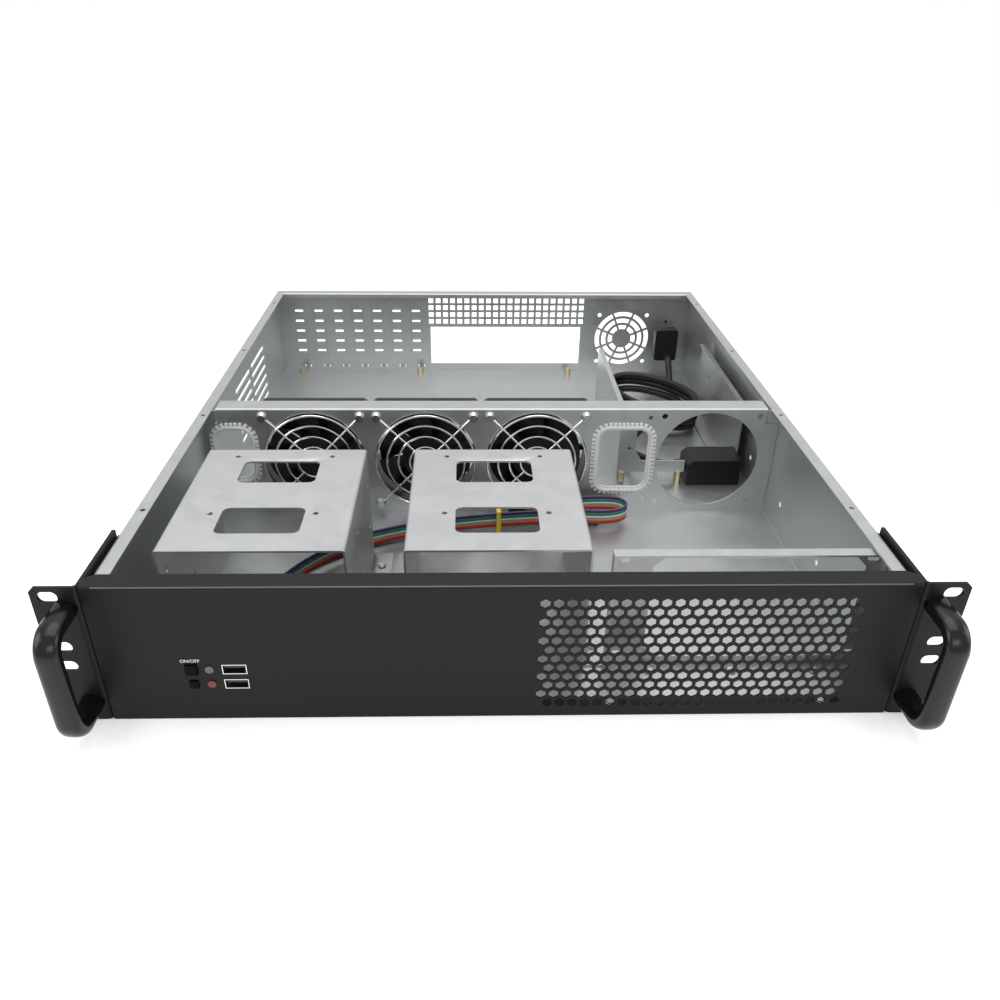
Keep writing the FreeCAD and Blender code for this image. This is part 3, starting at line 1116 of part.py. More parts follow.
# -------------------------------------------------------------------------- rear fittings
def slot_cover(index):
    """Card slot cover: a strip inside the rear panel, hooked below and screwed above."""
    piece = Piece("slot_cover_%d" % (index + 1), x="cardFirst+%d*cardPitch" % index)
    strip = piece.sketch("XZ", "caseDepth")
    wide = "coverWidth/2"
    piece.polygon(strip, [
        ("-(%s)+3" % wide, "cardLow-5"), ("%s-2" % wide, "cardLow-5"), ("%s" % wide, "cardLow-2"),
        (wide, "wallHeight-1"), ("-(%s)" % wide, "wallHeight-1"), ("-(%s)" % wide, "cardLow-1"),
    ])
    piece.pad(strip, "coverSheet")
    hook = piece.sketch("YZ", "coverHook-2.5")
    piece.polygon(hook, [
        ("caseDepth", "cardLow-4"), ("caseDepth", "5.8"), ("caseDepth-sheet-1.4", "5.8"),
        ("caseDepth-sheet-1.4", "5"), ("caseDepth+coverSheet", "5"), ("caseDepth+coverSheet", "cardLow-4"),
    ])
    piece.pad(hook, "5")
    holes = piece.circle(piece.sketch("XZ", "caseDepth-1"), "0", "cardHigh+7", "3.4")
    slot = "2.2"
    for k in range(5):
        piece.box(holes, "0", "cardLow+8+%d*10.6" % k, "8.4", slot)
    piece.cut(holes, "coverSheet+2")
    return piece.body


def mains_inlet():
    """Mains inlet with its flange outside the rear panel and a recessed socket."""
    piece = Piece("mains_inlet", x="inletCentre", z="inletHeight")
    flange = piece.sketch("XZ", "caseDepth")
    piece.polygon(flange, [
        ("-14", "-18"), ("-6", "-24.5"), ("6", "-24.5"), ("14", "-18"),
        ("14", "18"), ("6", "24.5"), ("-6", "24.5"), ("-14", "18"),
    ])
    piece.pad(flange, "2.6")
    tub = piece.box(piece.sketch("XZ", "caseDepth-18"), "0", "0", "20.4", "27.4")
    piece.pad(tub, "19")
    socket = piece.sketch("XZ", "caseDepth-14")
    piece.polygon(socket, [
        ("-8", "-12"), ("4.5", "-12"), ("8", "-8.5"), ("8", "8.5"), ("4.5", "12"), ("-8", "12"),
    ])
    piece.cut(socket, "20")
    screws = piece.sketch("XZ", "caseDepth-1")
    for v in ("-1", "1"):
        piece.circle(screws, "0", "%s*inletPitch/2" % v, "3.2")
    piece.cut(screws, "6")
    pins = [
        plain_box("inlet_pin_%d" % i, "inletCentre+%s-2" % x, "caseDepth-14",
                  "inletHeight+%s-0.9" % z, "4", "11", "1.8")
        for i, (x, z) in enumerate((("-3", "-7"), ("2.5", "0"), ("-3", "7")))
    ]
    return [piece.body, group_of("inlet_pins", pins)]


def inlet_boot():
    """Moulded boot on the back of the inlet, where the internal mains lead starts."""
    piece = Piece("inlet_boot", x="inletCentre", z="inletHeight")
    block = piece.box(piece.sketch("XZ", "caseDepth-31"), "-3.5", "4", "23", "32")
    piece.pad(block, "13")
    edge = [("%s" % u, "%s" % v) for u in ("-15", "8") for v in ("-12", "20")]
    piece.edges("Fillet", "3", along(1, *edge))
    collar = piece.circle(piece.sketch("XZ", "caseDepth-36"), "-3", "-5.5", "mainsCord+2.6")
    piece.pad(collar, "6")
    return piece.body


def mains_plug():
    """Rewireable-size connector on the lead's free end, lying in front of the bay."""
    piece = Piece("mains_plug")
    body = piece.sketch("XZ", "bayFront-5.4")
    piece.polygon(body, [("161", "sheet"), ("205", "sheet"), ("205", "sheet+22"), ("166", "sheet+22"),
                         ("161", "sheet+18")])
    piece.pad(body, "28")
    socket = piece.box(piece.sketch("YZ", "205-14"), "bayFront+8.6", "sheet+11", "20", "14")
    piece.cut(socket, "16")
    neck = piece.circle(piece.sketch("YZ", "161-8"), "bayFront+8.6", "sheet+12", "mainsCord+3")
    piece.pad(neck, "9")
    return piece.body


# ------------------------------------------------------------------------ front controls
def controls():
    """Buttons, status lights, USB ports and the small board that carries them."""
    made = []
    column = "controlCentre-controlPitch"
    for label, height, size in (("power_button", "controlUpper", "powerButtonSize"),
                                ("reset_button", "controlLower", "resetButtonSize")):
        piece = Piece(label, x=column, z=height)
        piece.pad(piece.box(piece.sketch("XZ", "-buttonProud"), "0", "0", size, size), "buttonProud+3")
        collar = piece.box(piece.sketch("XZ", "panelSheet+0.3"), "0", "0", "%s+1.6" % size,
                           "%s+1.6" % size)
        piece.pad(collar, "1.2")
        piece.pad(piece.circle(piece.sketch("XZ", "2"), "0", "0", "2.6"), "9.6")
        made.append(piece.body)
    switches = Piece("switches")
    for height in ("controlUpper", "controlLower"):
        block = switches.box(switches.sketch("XZ", "boardBack-5"), column, height, "6.2", "6.2")
        switches.pad(block, "5")
        bore = switches.circle(switches.sketch("XZ", "boardBack-6"), column, height, "3.2")
        switches.cut(bore, "4.9")
    made.append(switches.body)
    for label, height in (("power_light", "controlUpper"), ("drive_light", "controlLower")):
        piece = Piece(label, x="controlCentre", z=height)
        piece.pad(piece.circle(piece.sketch("XZ", "-0.6"), "0", "0", "lightSize"), "boardBack+0.6")
        piece.pad(piece.circle(piece.sketch("XZ", "panelSheet+0.1"), "0", "0", "lightSize+0.9"), "1")
        made.append(piece.body)
    for label, height in (("usb_port_upper", "controlUpper"), ("usb_port_lower", "controlLower")):
        shell = Piece(label, x="usbCentre", z=height)
        shell.pad(shell.box(shell.sketch("XZ", "-0.2"), "0", "0", "usbWidth", "usbHeight"),
                  "boardBack+0.2")
        shell.cut(shell.box(shell.sketch("XZ", "-1"), "0", "0", "usbWidth-1", "usbHeight-1"), "13")
        made.append(shell.body)
    tongues = []
    for i, height in enumerate(("controlUpper", "controlLower")):
        tongues.append(plain_box("usb_tongue_%d" % i, "usbCentre-5.3", "1", height + "+0.2",
                                 "10.6", "11", "1.9"))
    made.append(group_of("usb_tongues", tongues))
    board = Piece("control_board")
    plate = board.sketch("XZ", "boardBack")
    board.polygon(plate, [("-184", "4"), ("-132", "4"), ("-132", "44"), ("-184", "44")])
    board.pad(plate, "boardSheet")
    holes = board.sketch("XZ", "boardBack-1")
    for x in CONTROL_POSTS:
        board.circle(holes, x, "controlPostHeight", "3.2")
    board.cut(holes, "boardSheet+2")
    made.append(board.body)
    plug = Piece("ribbon_plug")
    plug.pad(plug.box(plug.sketch("XZ", "boardBack+boardSheet"), "-152", "12", "2.8", "13.2"), "16")
    made.append(plug.body)
    plug = Piece("usb_plug")
    plug.pad(plug.box(plug.sketch("XZ", "boardBack+boardSheet"), "-163", "10", "6", "8"), "12")
    made.append(plug.body)
    return made


# ------------------------------------------------------------------------------- leads
def route(points):
    """Join points by straight runs and tangent arcs as large as their runs allow.

    Returns the wire and the arcs' radii.
    """
    spots = [Vector(*p) for p in points]
    edges, radii = [], []
    start = spots[0]
    for before, corner, after in zip(spots, spots[1:], spots[2:]):
        run_in, run_out = corner - before, after - corner
        turn = run_in.getAngle(run_out)
        tangent = 0.45 * min(run_in.Length, run_out.Length)
        radii.append(tangent / math.tan(turn / 2))
        a = corner - Vector(run_in).normalize() * tangent
        b = corner + Vector(run_out).normalize() * tangent
        middle = (a + b) * 0.5
        inward = Vector(middle - corner).normalize()
        reach = radii[-1] / math.cos(turn / 2) - radii[-1]
        edges.append(Part.LineSegment(start, a).toShape())
        edges.append(Part.Arc(a, corner + inward * reach, b).toShape())
        start = b
    edges.append(Part.LineSegment(start, spots[-1]).toShape())
    return Part.Wire(edges), radii


def lead(label, points, diameter, section=None):
    """Lead along hand-set points, round unless a flat (thickness, height) section is given.

    Points are (x, y behind the front face, z).  A flat lead stands on edge on a level route.
    """
    front = -value("caseDepth") / 2
    wire, radii = route([(x, y + front, z) for x, y, z in points])
    start = wire.Vertexes[0].Point
    heading = (wire.Vertexes[1].Point - start).normalize()
    if section:
        thick, tall = section
        across = heading.cross(Vector(0, 0, 1)).normalize() * (thick / 2)
        up = Vector(0, 0, tall / 2)
        ring = [start + across + up, start - across + up, start - across - up, start + across - up]
        profile = Part.makePolygon(ring + ring[:1])
        area = thick * tall
    else:
        profile = Part.Wire(Part.Circle(start, heading, diameter / 2).toShape())
        area = math.pi * diameter ** 2 / 4
    solid = wire.makePipeShell([profile], True, False)
    item = doc.addObject("Part::Feature", label)
    item.Label = label
    item.Shape = solid
    expected = area * wire.Length
    print("%s: length %.0f, radii %s, volume %.3f of expected" % (
        label, wire.Length, " ".join("%.0f" % r for r in radii), solid.Volume / expected))
    if abs(solid.Volume / expected - 1) > 0.02:
        raise ValueError("%s: its volume isn't its section times its length" % label)
    return item


RIBBON_ROUTE = [
    (-152, 32.6, 12), (-152, 44, 12), (-154, 60, 12), (-154, 82, 12), (-148, 106, 12),
    (-136, 130, 12), (-118, 153, 12), (-92, 174, 12), (-58, 188, 12), (-18, 198, 12), (26, 204, 12),
    (62, 206, 12), (88, 204, 12), (103, 212, 12), (99, 226, 12), (80, 228, 12), (52, 224, 12),
    (26, 224, 12),
]
USB_ROUTE = [
    (-163, 28.6, 10), (-163, 40, 10), (-165, 56, 7.4), (-167, 78, 4.2), (-160, 104, 3.6),
    (-146, 132, 3.6), (-124, 158, 3.6), (-94, 180, 3.6), (-58, 195, 4.4), (-18, 207, 5.2),
    (20, 213, 5.2), (46, 213.6, 4.6), (68, 213.6, 4.6),
]
MAINS_REAR_ROUTE = [
    (188, 514, 28.5), (188, 506.5, 28.5), (188, 499.5, 25), (187, 491, 18.4), (183, 481, 12.6),
    (176, 471, 10),
]
MAINS_FRONT_ROUTE = [
    (153, 290.6, 13.2), (144.5, 290.6, 13.2), (133.5, 294, 15.6), (124, 303.5, 16.4),
    (118.5, 317, 13.4), (119, 334, 8.6), (125.5, 352, 5.4), (137, 367, 6.2), (149, 380, 9),
]


def leads():
    """Internal mains lead with its hank, and the two leads of the front controls."""
    ribbon = lead("control_ribbon", RIBBON_ROUTE, 0,
                  section=(value("ribbonThick"), value("ribbonWidth")))
    usb = lead("usb_lead", USB_ROUTE, value("usbCord"))
    rear = lead("mains_lead_rear", MAINS_REAR_ROUTE, value("mainsCord"))
    front = lead("mains_lead_front", MAINS_FRONT_ROUTE, value("mainsCord"))
    hank = Piece("mains_hank")
    ring = hank.sketch("XY", "sheet")
    for half_width, half_length in (("33", "60"), ("13", "40")):
        corner = value(half_width) * 0.62
        points = []
        for quarter, (su, sv) in enumerate(((1, 1), (-1, 1), (-1, -1), (1, -1))):
            for step in range(4):
                angle = math.radians(90 * quarter + 30 * step)
                points.append(
                    ("156+%d*(%s-%.3f)+(%.4f)" % (su, half_width, corner, corner * math.cos(angle)),
                     "436+%d*(%s-%.3f)+(%.4f)" % (sv, half_length, corner, corner * math.sin(angle)))
                )
        hank.polygon(ring, points)
    hank.pad(ring, "17")
    end_plug = Piece("ribbon_end_plug")
    end_plug.pad(end_plug.box(end_plug.sketch("YZ", "12"), "224", "12", "2.8", "13.2"), "14")
    usb_plug = Piece("usb_end_plug")
    body = usb_plug.box(usb_plug.sketch("YZ", "68"), "213.6", "4.6", "6", "6.4")
    usb_plug.pad(body, "12")
    tie = Piece("lead_tie")
    strap = tie.box(tie.sketch("YZ", "2"), "206.3", "sheet+9.2", "15.6", "18.2")
    tie.box(strap, "206.3", "sheet+9.2", "13.4", "15.9")
    tie.pad(strap, "3.2")
    return [ribbon, usb, rear, front, hank.body, end_plug.body, usb_plug.body, tie.body]


def build():
    """Make every piece and return them."""
    pieces = [base_tray(), rear_panel(), front_panel()]
    pieces += [ear("ear_left", -1), ear("ear_right", 1)]
    pieces += [handle("handle_left", -1), handle("handle_right", 1)]
    pieces += [fan_wall()]
    pieces += [edging("edging_left", "windowLeft", "windowWidthLeft", "windowHeightLeft"),
               edging("edging_right", "windowRight", "windowWidthRight", "windowHeightRight")]
    for index in range(3):
        pieces += [fan_frame(index), fan_rotor(index), fan_guard(index)]
    pieces += [drive_bracket("drive_bracket_left", "bracketLeft"),
               drive_bracket("drive_bracket_right", "bracketRight")]
    pieces += [mount_plate(), bay_guide_left(), bay_guide_right()]
    pieces += fasteners()
    pieces += [slot_cover(index) for index in range(int(value("cardCount")))]
    pieces += mains_inlet() + [inlet_boot(), mains_plug()]
    pieces += controls() + leads()
    return pieces


def main():
    """Build, check and write every piece."""
    pieces = build()
    doc.recompute()
    failed = [o.Name for o in doc.Objects if "Invalid" in o.State or "Error" in o.State]
    if failed:
        raise ValueError("failed: " + ", ".join(failed))
    os.makedirs("parts", exist_ok=True)
    for piece in pieces:
        if piece.Shape.isNull() or not piece.Shape.isValid():
            raise ValueError("bad shape: " + piece.Label)
        piece.Shape.exportStep("parts/%s.step" % piece.Label)
    print("%d pieces" % len(pieces))


main()
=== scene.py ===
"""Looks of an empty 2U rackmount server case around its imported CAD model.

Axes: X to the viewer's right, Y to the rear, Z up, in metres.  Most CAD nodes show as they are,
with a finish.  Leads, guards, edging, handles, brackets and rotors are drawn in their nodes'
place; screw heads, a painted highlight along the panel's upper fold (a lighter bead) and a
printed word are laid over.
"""

import logging
import math
from contextlib import contextmanager
from dataclasses import dataclass, field
from enum import Enum
from typing import Iterable, Iterator, Sequence

import bpy
from bpy.types import Object
from mathutils import Matrix, Vector


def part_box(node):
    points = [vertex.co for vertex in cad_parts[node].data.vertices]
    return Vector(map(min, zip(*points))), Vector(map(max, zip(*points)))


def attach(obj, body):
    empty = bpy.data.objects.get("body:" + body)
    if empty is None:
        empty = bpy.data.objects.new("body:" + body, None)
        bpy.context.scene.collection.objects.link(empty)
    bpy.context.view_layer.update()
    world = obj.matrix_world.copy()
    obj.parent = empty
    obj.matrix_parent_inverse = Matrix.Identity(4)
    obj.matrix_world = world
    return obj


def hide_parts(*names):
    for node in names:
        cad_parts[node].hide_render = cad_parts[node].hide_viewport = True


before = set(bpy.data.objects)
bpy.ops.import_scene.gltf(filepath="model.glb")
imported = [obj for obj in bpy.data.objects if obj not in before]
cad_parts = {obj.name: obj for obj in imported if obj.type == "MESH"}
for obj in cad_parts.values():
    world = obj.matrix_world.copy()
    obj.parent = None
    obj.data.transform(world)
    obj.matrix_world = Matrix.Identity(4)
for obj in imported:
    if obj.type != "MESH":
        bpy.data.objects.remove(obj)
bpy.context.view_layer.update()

log = logging.getLogger("rack_case")
MM = 0.001
HALF_DEPTH = 275.0 * MM
WELD = 0.002 * MM
FACING_FRONT = (math.radians(90), 0, 0)
Point = tuple[float, float, float]
Value = "Field | float | Sequence[float]"


def in_case(points: Iterable[Point]) -> list[Vector]:
    """Turn (x, y behind the front face, z) points in millimetres into the row frame.

    Args:
        points: route or place in millimetres, with Y from the front face.

    Returns:
        The same points in metres about the case's origin.
    """
    return [Vector((x * MM, y * MM - HALF_DEPTH, z * MM)) for x, y, z in points]


# ---- shading
class Field:
    """A shader socket that can be used in arithmetic."""

    def __init__(self, graph: "Graph", socket: bpy.types.NodeSocket) -> None:
        """Keep the graph that owns the socket."""
        self.graph = graph
        self.socket = socket

    def _math(self, operation: str, other: "Field | float") -> "Field":
        """Join this value and another, or a plain number, with a math node."""
        node = self.graph.node("ShaderNodeMath")
        node.operation = operation
        for socket, item in zip(node.inputs, (self, other)):
            self.graph.feed(socket, item)
        return Field(self.graph, node.outputs[0])

    def __add__(self, other: "Field | float") -> "Field":
        """Add."""
        return self._math("ADD", other)

    def __mul__(self, other: "Field | float") -> "Field":
        """Multiply."""
        return self._math("MULTIPLY", other)


class Graph:
    """A material's node tree with short names for the nodes that the finishes use."""

    MIX_FACTOR, MIX_LOW, MIX_HIGH, MIX_COLOR = 0, 6, 7, 2

    def __init__(self, name: str) -> None:
        """Start an empty material with its output and its surface shader."""
        self.material = bpy.data.materials.new(name)
        self.material.use_nodes = True
        self.tree = self.material.node_tree
        self.tree.nodes.clear()
        self.surface = self.node("ShaderNodeBsdfPrincipled")
        output = self.node("ShaderNodeOutputMaterial")
        self.tree.links.new(self.surface.outputs[0], output.inputs[0])
        self.coordinates = self.node("ShaderNodeTexCoord")

    def node(self, kind: str, **inputs: Value) -> bpy.types.Node:
        """Add a node of one kind and fill the inputs that are named."""
        made = self.tree.nodes.new(kind)
        for name, item in inputs.items():
            self.feed(made.inputs[name], item)
        return made

    def feed(self, socket: bpy.types.NodeSocket, item: Value) -> None:
        """Link a field to a socket, or set a number or colour on it."""
        if isinstance(item, Field):
            self.tree.links.new(item.socket, socket)
        else:
            socket.default_value = item

    def set(self, name: str, item: Value) -> None:
        """Fill one input of the surface shader."""
        self.feed(self.surface.inputs[name], item)

    def stretched(self, scale: Point) -> Field:
        """Return object coordinates scaled along each axis."""
        node = self.node("ShaderNodeMapping", Scale=scale)
        self.tree.links.new(self.coordinates.outputs["Object"], node.inputs["Vector"])
        return Field(self, node.outputs[0])

    def noise(self, scale: float, detail: float = 3.0, stretch: Point = (1, 1, 1)) -> Field:
        """Return a noise value.

        Args:
            scale: noise cells per metre.
            detail: octaves of finer noise.
            stretch: extra scale along each axis.

        Returns:
            A value around one half.
        """
        node = self.node("ShaderNodeTexNoise", Scale=scale, Detail=detail,
                         Vector=self.stretched(stretch))
        return Field(self, node.outputs[0])

    def cells(self, scale: float) -> Field:
        """Return a random value for each crystal-like cell."""
        node = self.node("ShaderNodeTexVoronoi", Scale=scale, Vector=self.stretched((1, 1, 1)))
        split = self.node("ShaderNodeSeparateColor")
        self.tree.links.new(node.outputs["Color"], split.inputs[0])
        return Field(self, split.outputs[0])

    def blend(self, factor: Field, low: Sequence[float], high: Sequence[float]) -> Field:
        """Mix two colours by a field, clamped to its range."""
        node = self.node("ShaderNodeMix")
        node.data_type = "RGBA"
        self.feed(node.inputs[self.MIX_FACTOR], factor)
        self.feed(node.inputs[self.MIX_LOW], (*low, 1.0))
        self.feed(node.inputs[self.MIX_HIGH], (*high, 1.0))
        return Field(self, node.outputs[self.MIX_COLOR])

    def bump(self, height: Field, strength: float, distance: float) -> Field:
        """Turn a height into a normal."""
        node = self.node("ShaderNodeBump", Strength=strength, Distance=distance, Height=height)
        return Field(self, node.outputs[0])


@dataclass(frozen=True)
class Finish:
    """A surface finish with a colour that wanders a little and a fine bump."""

    name: str
    color: tuple[float, float, float]
    metallic: float = 0.0
    roughness: float = 0.5
    wander: float = 0.08
    grain: float = 900.0
    bump: float = 0.1
    depth: float = 0.00005
    coat: float = 0.0
    specular: float = 0.5
    cloud: float = 22.0
    uneven: float = 0.08

    def material(self) -> bpy.types.Material:
        """Return the finish's material, made on first use."""
        known = bpy.data.materials.get(self.name)
        if known:
            return known
        graph = Graph(self.name)
        graph.set("Metallic", self.metallic)
        graph.set("Coat Weight", self.coat)
        graph.set("Specular IOR Level", self.specular)
        self.paint(graph)
        return graph.material

    def shades(self) -> tuple[list[float], list[float]]:
        """Return the darkest and lightest colour that the surface wanders between."""
        low = [c * (1 - self.wander) for c in self.color]
        high = [min(1.0, c * (1 + self.wander)) for c in self.color]
        return low, high

    def paint(self, graph: Graph) -> None:
        """Set the colour, roughness and normal of a moulded or plain surface."""
        cloud = graph.noise(self.cloud, 4.0)
        graph.set("Base Color", graph.blend(cloud, *self.shades()))
        fine = graph.noise(self.grain, 2.0)
        graph.set("Roughness", cloud * self.uneven + (self.roughness - self.uneven / 2))
        graph.set("Normal", graph.bump(fine, self.bump, self.depth))


@dataclass(frozen=True)
class Galvanised(Finish):
    """Zinc-coated steel sheet: faint crystal cells, rolling streaks and handling haze."""

    cell: float = 95.0
    streak: float = 60.0
    rolled: Point = (0.18, 6.0, 1.0)
    haze: float = 7.0
    shares: Point = (0.22, 0.33, 0.45)
    cell_uneven: float = 0.05
    haze_uneven: float = 0.16
    polish: float = 0.1
    brushed: Point = (0.4, 2.0, 1.0)

    def paint(self, graph: Graph) -> None:
        """Set a cloudy zinc colour with streaks along the rolling direction."""
        spangle = graph.cells(self.cell)
        streak = graph.noise(self.streak, 5.0, self.rolled)
        haze = graph.noise(self.haze, 5.0)
        mix = spangle * self.shares[0] + streak * self.shares[1] + haze * self.shares[2]
        graph.set("Base Color", graph.blend(mix, *self.shades()))
        graph.set("Roughness", haze * self.haze_uneven + spangle * self.cell_uneven
                  + (self.roughness - self.polish))
        fine = graph.noise(self.grain, 3.0, self.brushed)
        graph.set("Normal", graph.bump(fine, self.bump, self.depth))


@dataclass(frozen=True)
class Sweep(Finish):
    """Pale studio floor that fades into the white background away from the case."""

    cloud: float = 2.0
    uneven: float = 0.05
    near: float = 0.55
    far: float = 1.5
    glow: float = 0.22
    oval: Point = (1.0, 0.9, 1.0)

    def paint(self, graph: Graph) -> None:
        """Set an even pale colour, a slight glow and a fade with distance."""
        cloud = graph.noise(self.cloud, 2.0)
        graph.set("Base Color", graph.blend(cloud, *self.shades()))
        graph.set("Roughness", cloud * self.uneven + self.roughness)
        graph.set("Emission Color", (1.0, 1.0, 1.0, 1.0))
        graph.set("Emission Strength", self.glow)
        length = graph.node("ShaderNodeVectorMath")
        length.operation = "LENGTH"
        graph.feed(length.inputs[0], graph.stretched(self.oval))
        fade = graph.node("ShaderNodeMapRange")
        fade.interpolation_type = "SMOOTHSTEP"
        limits = (self.near, self.far, 1.0, 0.0)
        for socket, value in zip(fade.inputs[1:5], limits):
            socket.default_value = value
        graph.feed(fade.inputs[0], Field(graph, length.outputs["Value"]))
        graph.set("Alpha", Field(graph, fade.outputs[0]))


@dataclass(frozen=True)
class PowderCoat(Finish):
    """Fine textured powder coat over steel."""

    cloud: float = 9.0
    uneven: float = 0.06
    speck: float = 2600.0
    speck_share: float = 0.4

    def paint(self, graph: Graph) -> None:
        """Set a dark even colour with an orange-peel bump and a soft sheen."""
        cloud = graph.noise(self.cloud)
        speck = graph.noise(self.speck, 2.0)
        mix = cloud * (1 - self.speck_share) + speck * self.speck_share
        graph.set("Base Color", graph.blend(mix, *self.shades()))
        graph.set("Roughness", cloud * self.uneven + speck * self.uneven
                  + (self.roughness - self.uneven))
        graph.set("Normal", graph.bump(speck, self.bump, self.depth))


class Finishes(Enum):
    """The finishes of the case."""

    STEEL = Galvanised("galvanised_steel_look", (0.50, 0.515, 0.52), 0.85, 0.34, wander=0.10,
                       grain=700.0, bump=0.05)
    BRACKET = Galvanised("bracket_steel_look", (0.47, 0.48, 0.485), 0.8, 0.42, grain=1100.0,
                         bump=0.08)
    PANEL = PowderCoat("black_panel_look", (0.0065, 0.0065, 0.0068), 0.0, 0.42, wander=0.2,
                       bump=0.25, depth=0.00008, specular=0.19)
    HANDLE = PowderCoat("black_handle_look", (0.004, 0.004, 0.0041), 0.0, 0.2, wander=0.2,
                        bump=0.06, specular=0.34)
    ZINC = Finish("zinc_screw_look", (0.62, 0.62, 0.60), 1.0, 0.25)
    GOLD = Finish("gold_screw_look", (0.62, 0.50, 0.24), 1.0, 0.28)
    DARK_SCREW = Finish("dark_screw_look", (0.02, 0.022, 0.03), 0.6, 0.35)
    BRASS = Finish("brass_post_look", (0.66, 0.56, 0.34), 1.0, 0.3)
    FAN = Finish("fan_black_look", (0.008, 0.008, 0.0085), 0.0, 0.36, wander=0.15, grain=1500.0,
                 bump=0.08, specular=0.35)
    WIRE = Finish("guard_wire_look", (0.82, 0.82, 0.80), 1.0, 0.14, wander=0.04)
    EDGING = Finish("edging_look", (0.62, 0.64, 0.62), 0.0, 0.42, wander=0.05, grain=800.0,
                    bump=0.06)
    PLASTIC = Finish("black_plastic_look", (0.009, 0.009, 0.0095), 0.0, 0.42, wander=0.15,
                     grain=1300.0, bump=0.12, specular=0.28)
    BUTTON = Finish("button_look", (0.003, 0.003, 0.0032), 0.0, 0.3, wander=0.1, bump=0.05,
                    specular=0.05)
    # painted highlight: a grey much lighter than the panel, standing in for the light caught on
    # the fold's bend
    FOLD = PowderCoat("painted_fold_highlight_look", (0.085, 0.085, 0.082), 0.0, 0.3, wander=0.1)
    CORD = Finish("black_cord_look", (0.009, 0.009, 0.009), 0.0, 0.36, wander=0.15, grain=500.0,
                  specular=0.3)
    CLEAR = Finish("clear_light_look", (0.07, 0.075, 0.08), 0.0, 0.1, wander=0.03, grain=300.0,
                   bump=0.02, coat=0.4)
    RED = Finish("red_light_look", (0.13, 0.004, 0.005), 0.0, 0.12, grain=300.0, bump=0.02,
                 coat=0.4)
    SHELL = Finish("usb_shell_look", (0.70, 0.70, 0.68), 1.0, 0.22, wander=0.05)
    INSERT = Finish("usb_insert_look", (0.02, 0.02, 0.02))
    BOARD = Finish("green_board_look", (0.01, 0.07, 0.03), 0.0, 0.3, wander=0.2, grain=400.0)
    TIE = Finish("yellow_tie_look", (0.75, 0.52, 0.03), 0.0, 0.35)
    PRINT = Finish("white_print_look", (0.72, 0.72, 0.72), 0.0, 0.6, wander=0.03)


class Strand(Enum):
    """Colours of the control ribbon's wires, from its upper edge to its lower one."""

    VIOLET = (0.10, 0.05, 0.16)
    BLACK = (0.012, 0.012, 0.014)
    TEAL = (0.01, 0.20, 0.20)
    GREEN = (0.02, 0.16, 0.05)
    WHITE = (0.66, 0.66, 0.64)
    GREY = (0.25, 0.26, 0.27)
    ORANGE = (0.72, 0.16, 0.03)
    RED = (0.50, 0.02, 0.02)
    BROWN = (0.12, 0.04, 0.02)

    def finish(self) -> Finish:
        """Return this wire's finish."""
        return Finish("wire_%s_look" % self.name.lower(), self.value, 0.0, 0.34, bump=0.05)


# ---- tools
def activate(*items: Object) -> None:
    """Select only these objects and make the first one active."""
    bpy.ops.object.select_all(action="DESELECT")
    for item in items:
        item.select_set(True)
    bpy.context.view_layer.objects.active = items[0]


def apply_place(*items: Object) -> None:
    """Apply the place, turn and scale of objects to their meshes."""
    activate(*items)
    bpy.ops.object.transform_apply()


@contextmanager
def editing(whole: bool = True) -> Iterator[None]:
    """Work on the active mesh in edit mode, with all of it selected or the selection kept."""
    bpy.ops.object.mode_set(mode="EDIT")
    if whole:
        bpy.ops.mesh.select_all(action="SELECT")
    yield
    bpy.ops.object.mode_set(mode="OBJECT")


def linked(name: str, data: bpy.types.ID) -> Object:
    """Make an object around some data and put it in the scene."""
    item = bpy.data.objects.new(name, data)
    bpy.context.collection.objects.link(item)
    return item


def meshed(name: str, spots: Sequence[Vector | Point], faces: Sequence[tuple[int, ...]]) -> Object:
    """Make a mesh object from its places and faces."""
    mesh = bpy.data.meshes.new(name)
    mesh.from_pydata(spots, [], faces)
    return linked(name, mesh)


def twin(pattern: Object) -> Object:
    """Copy an object together with its mesh."""
    copy = pattern.copy()
    copy.data = pattern.data.copy()
    bpy.context.collection.objects.link(copy)
    return copy


def combine(target: Object, tool: Object, operation: str) -> None:
    """Join a tool to a target or cut it away, and remove the tool.

    Args:
        target: the object that stays.
        tool: the object that is used up.
        operation: the boolean modifier's operation.
    """
    change = target.modifiers.new("change", "BOOLEAN")
    change.operation = operation
    change.solver = "EXACT"
    change.object = tool
    activate(target)
    bpy.ops.object.modifier_apply(modifier=change.name)
    bpy.data.objects.remove(tool)


def settle(item: Object, name: str, smooth: float = 35.0) -> Object:
    """Apply an object's place and modifiers, name it and smooth its shading.

    Args:
        item: a mesh object.
        name: its new name.
        smooth: angle in degrees below which an edge is shaded smooth.

    Returns:
        The same object, at the origin and unscaled.
    """
    activate(item)
    for modifier in list(item.modifiers):
        bpy.ops.object.modifier_apply(modifier=modifier.name)
    bpy.ops.object.transform_apply()
    bpy.ops.object.shade_smooth_by_angle(angle=math.radians(smooth))
    item.name = name
    item.data.name = name
    return item


def join(items: Sequence[Object], name: str) -> Object:
    """Join objects whose transforms are applied into one mesh object."""
    activate(*items)
    bpy.ops.object.join()
    whole = bpy.context.object
    whole.name = name
    whole.data.name = name
    return whole


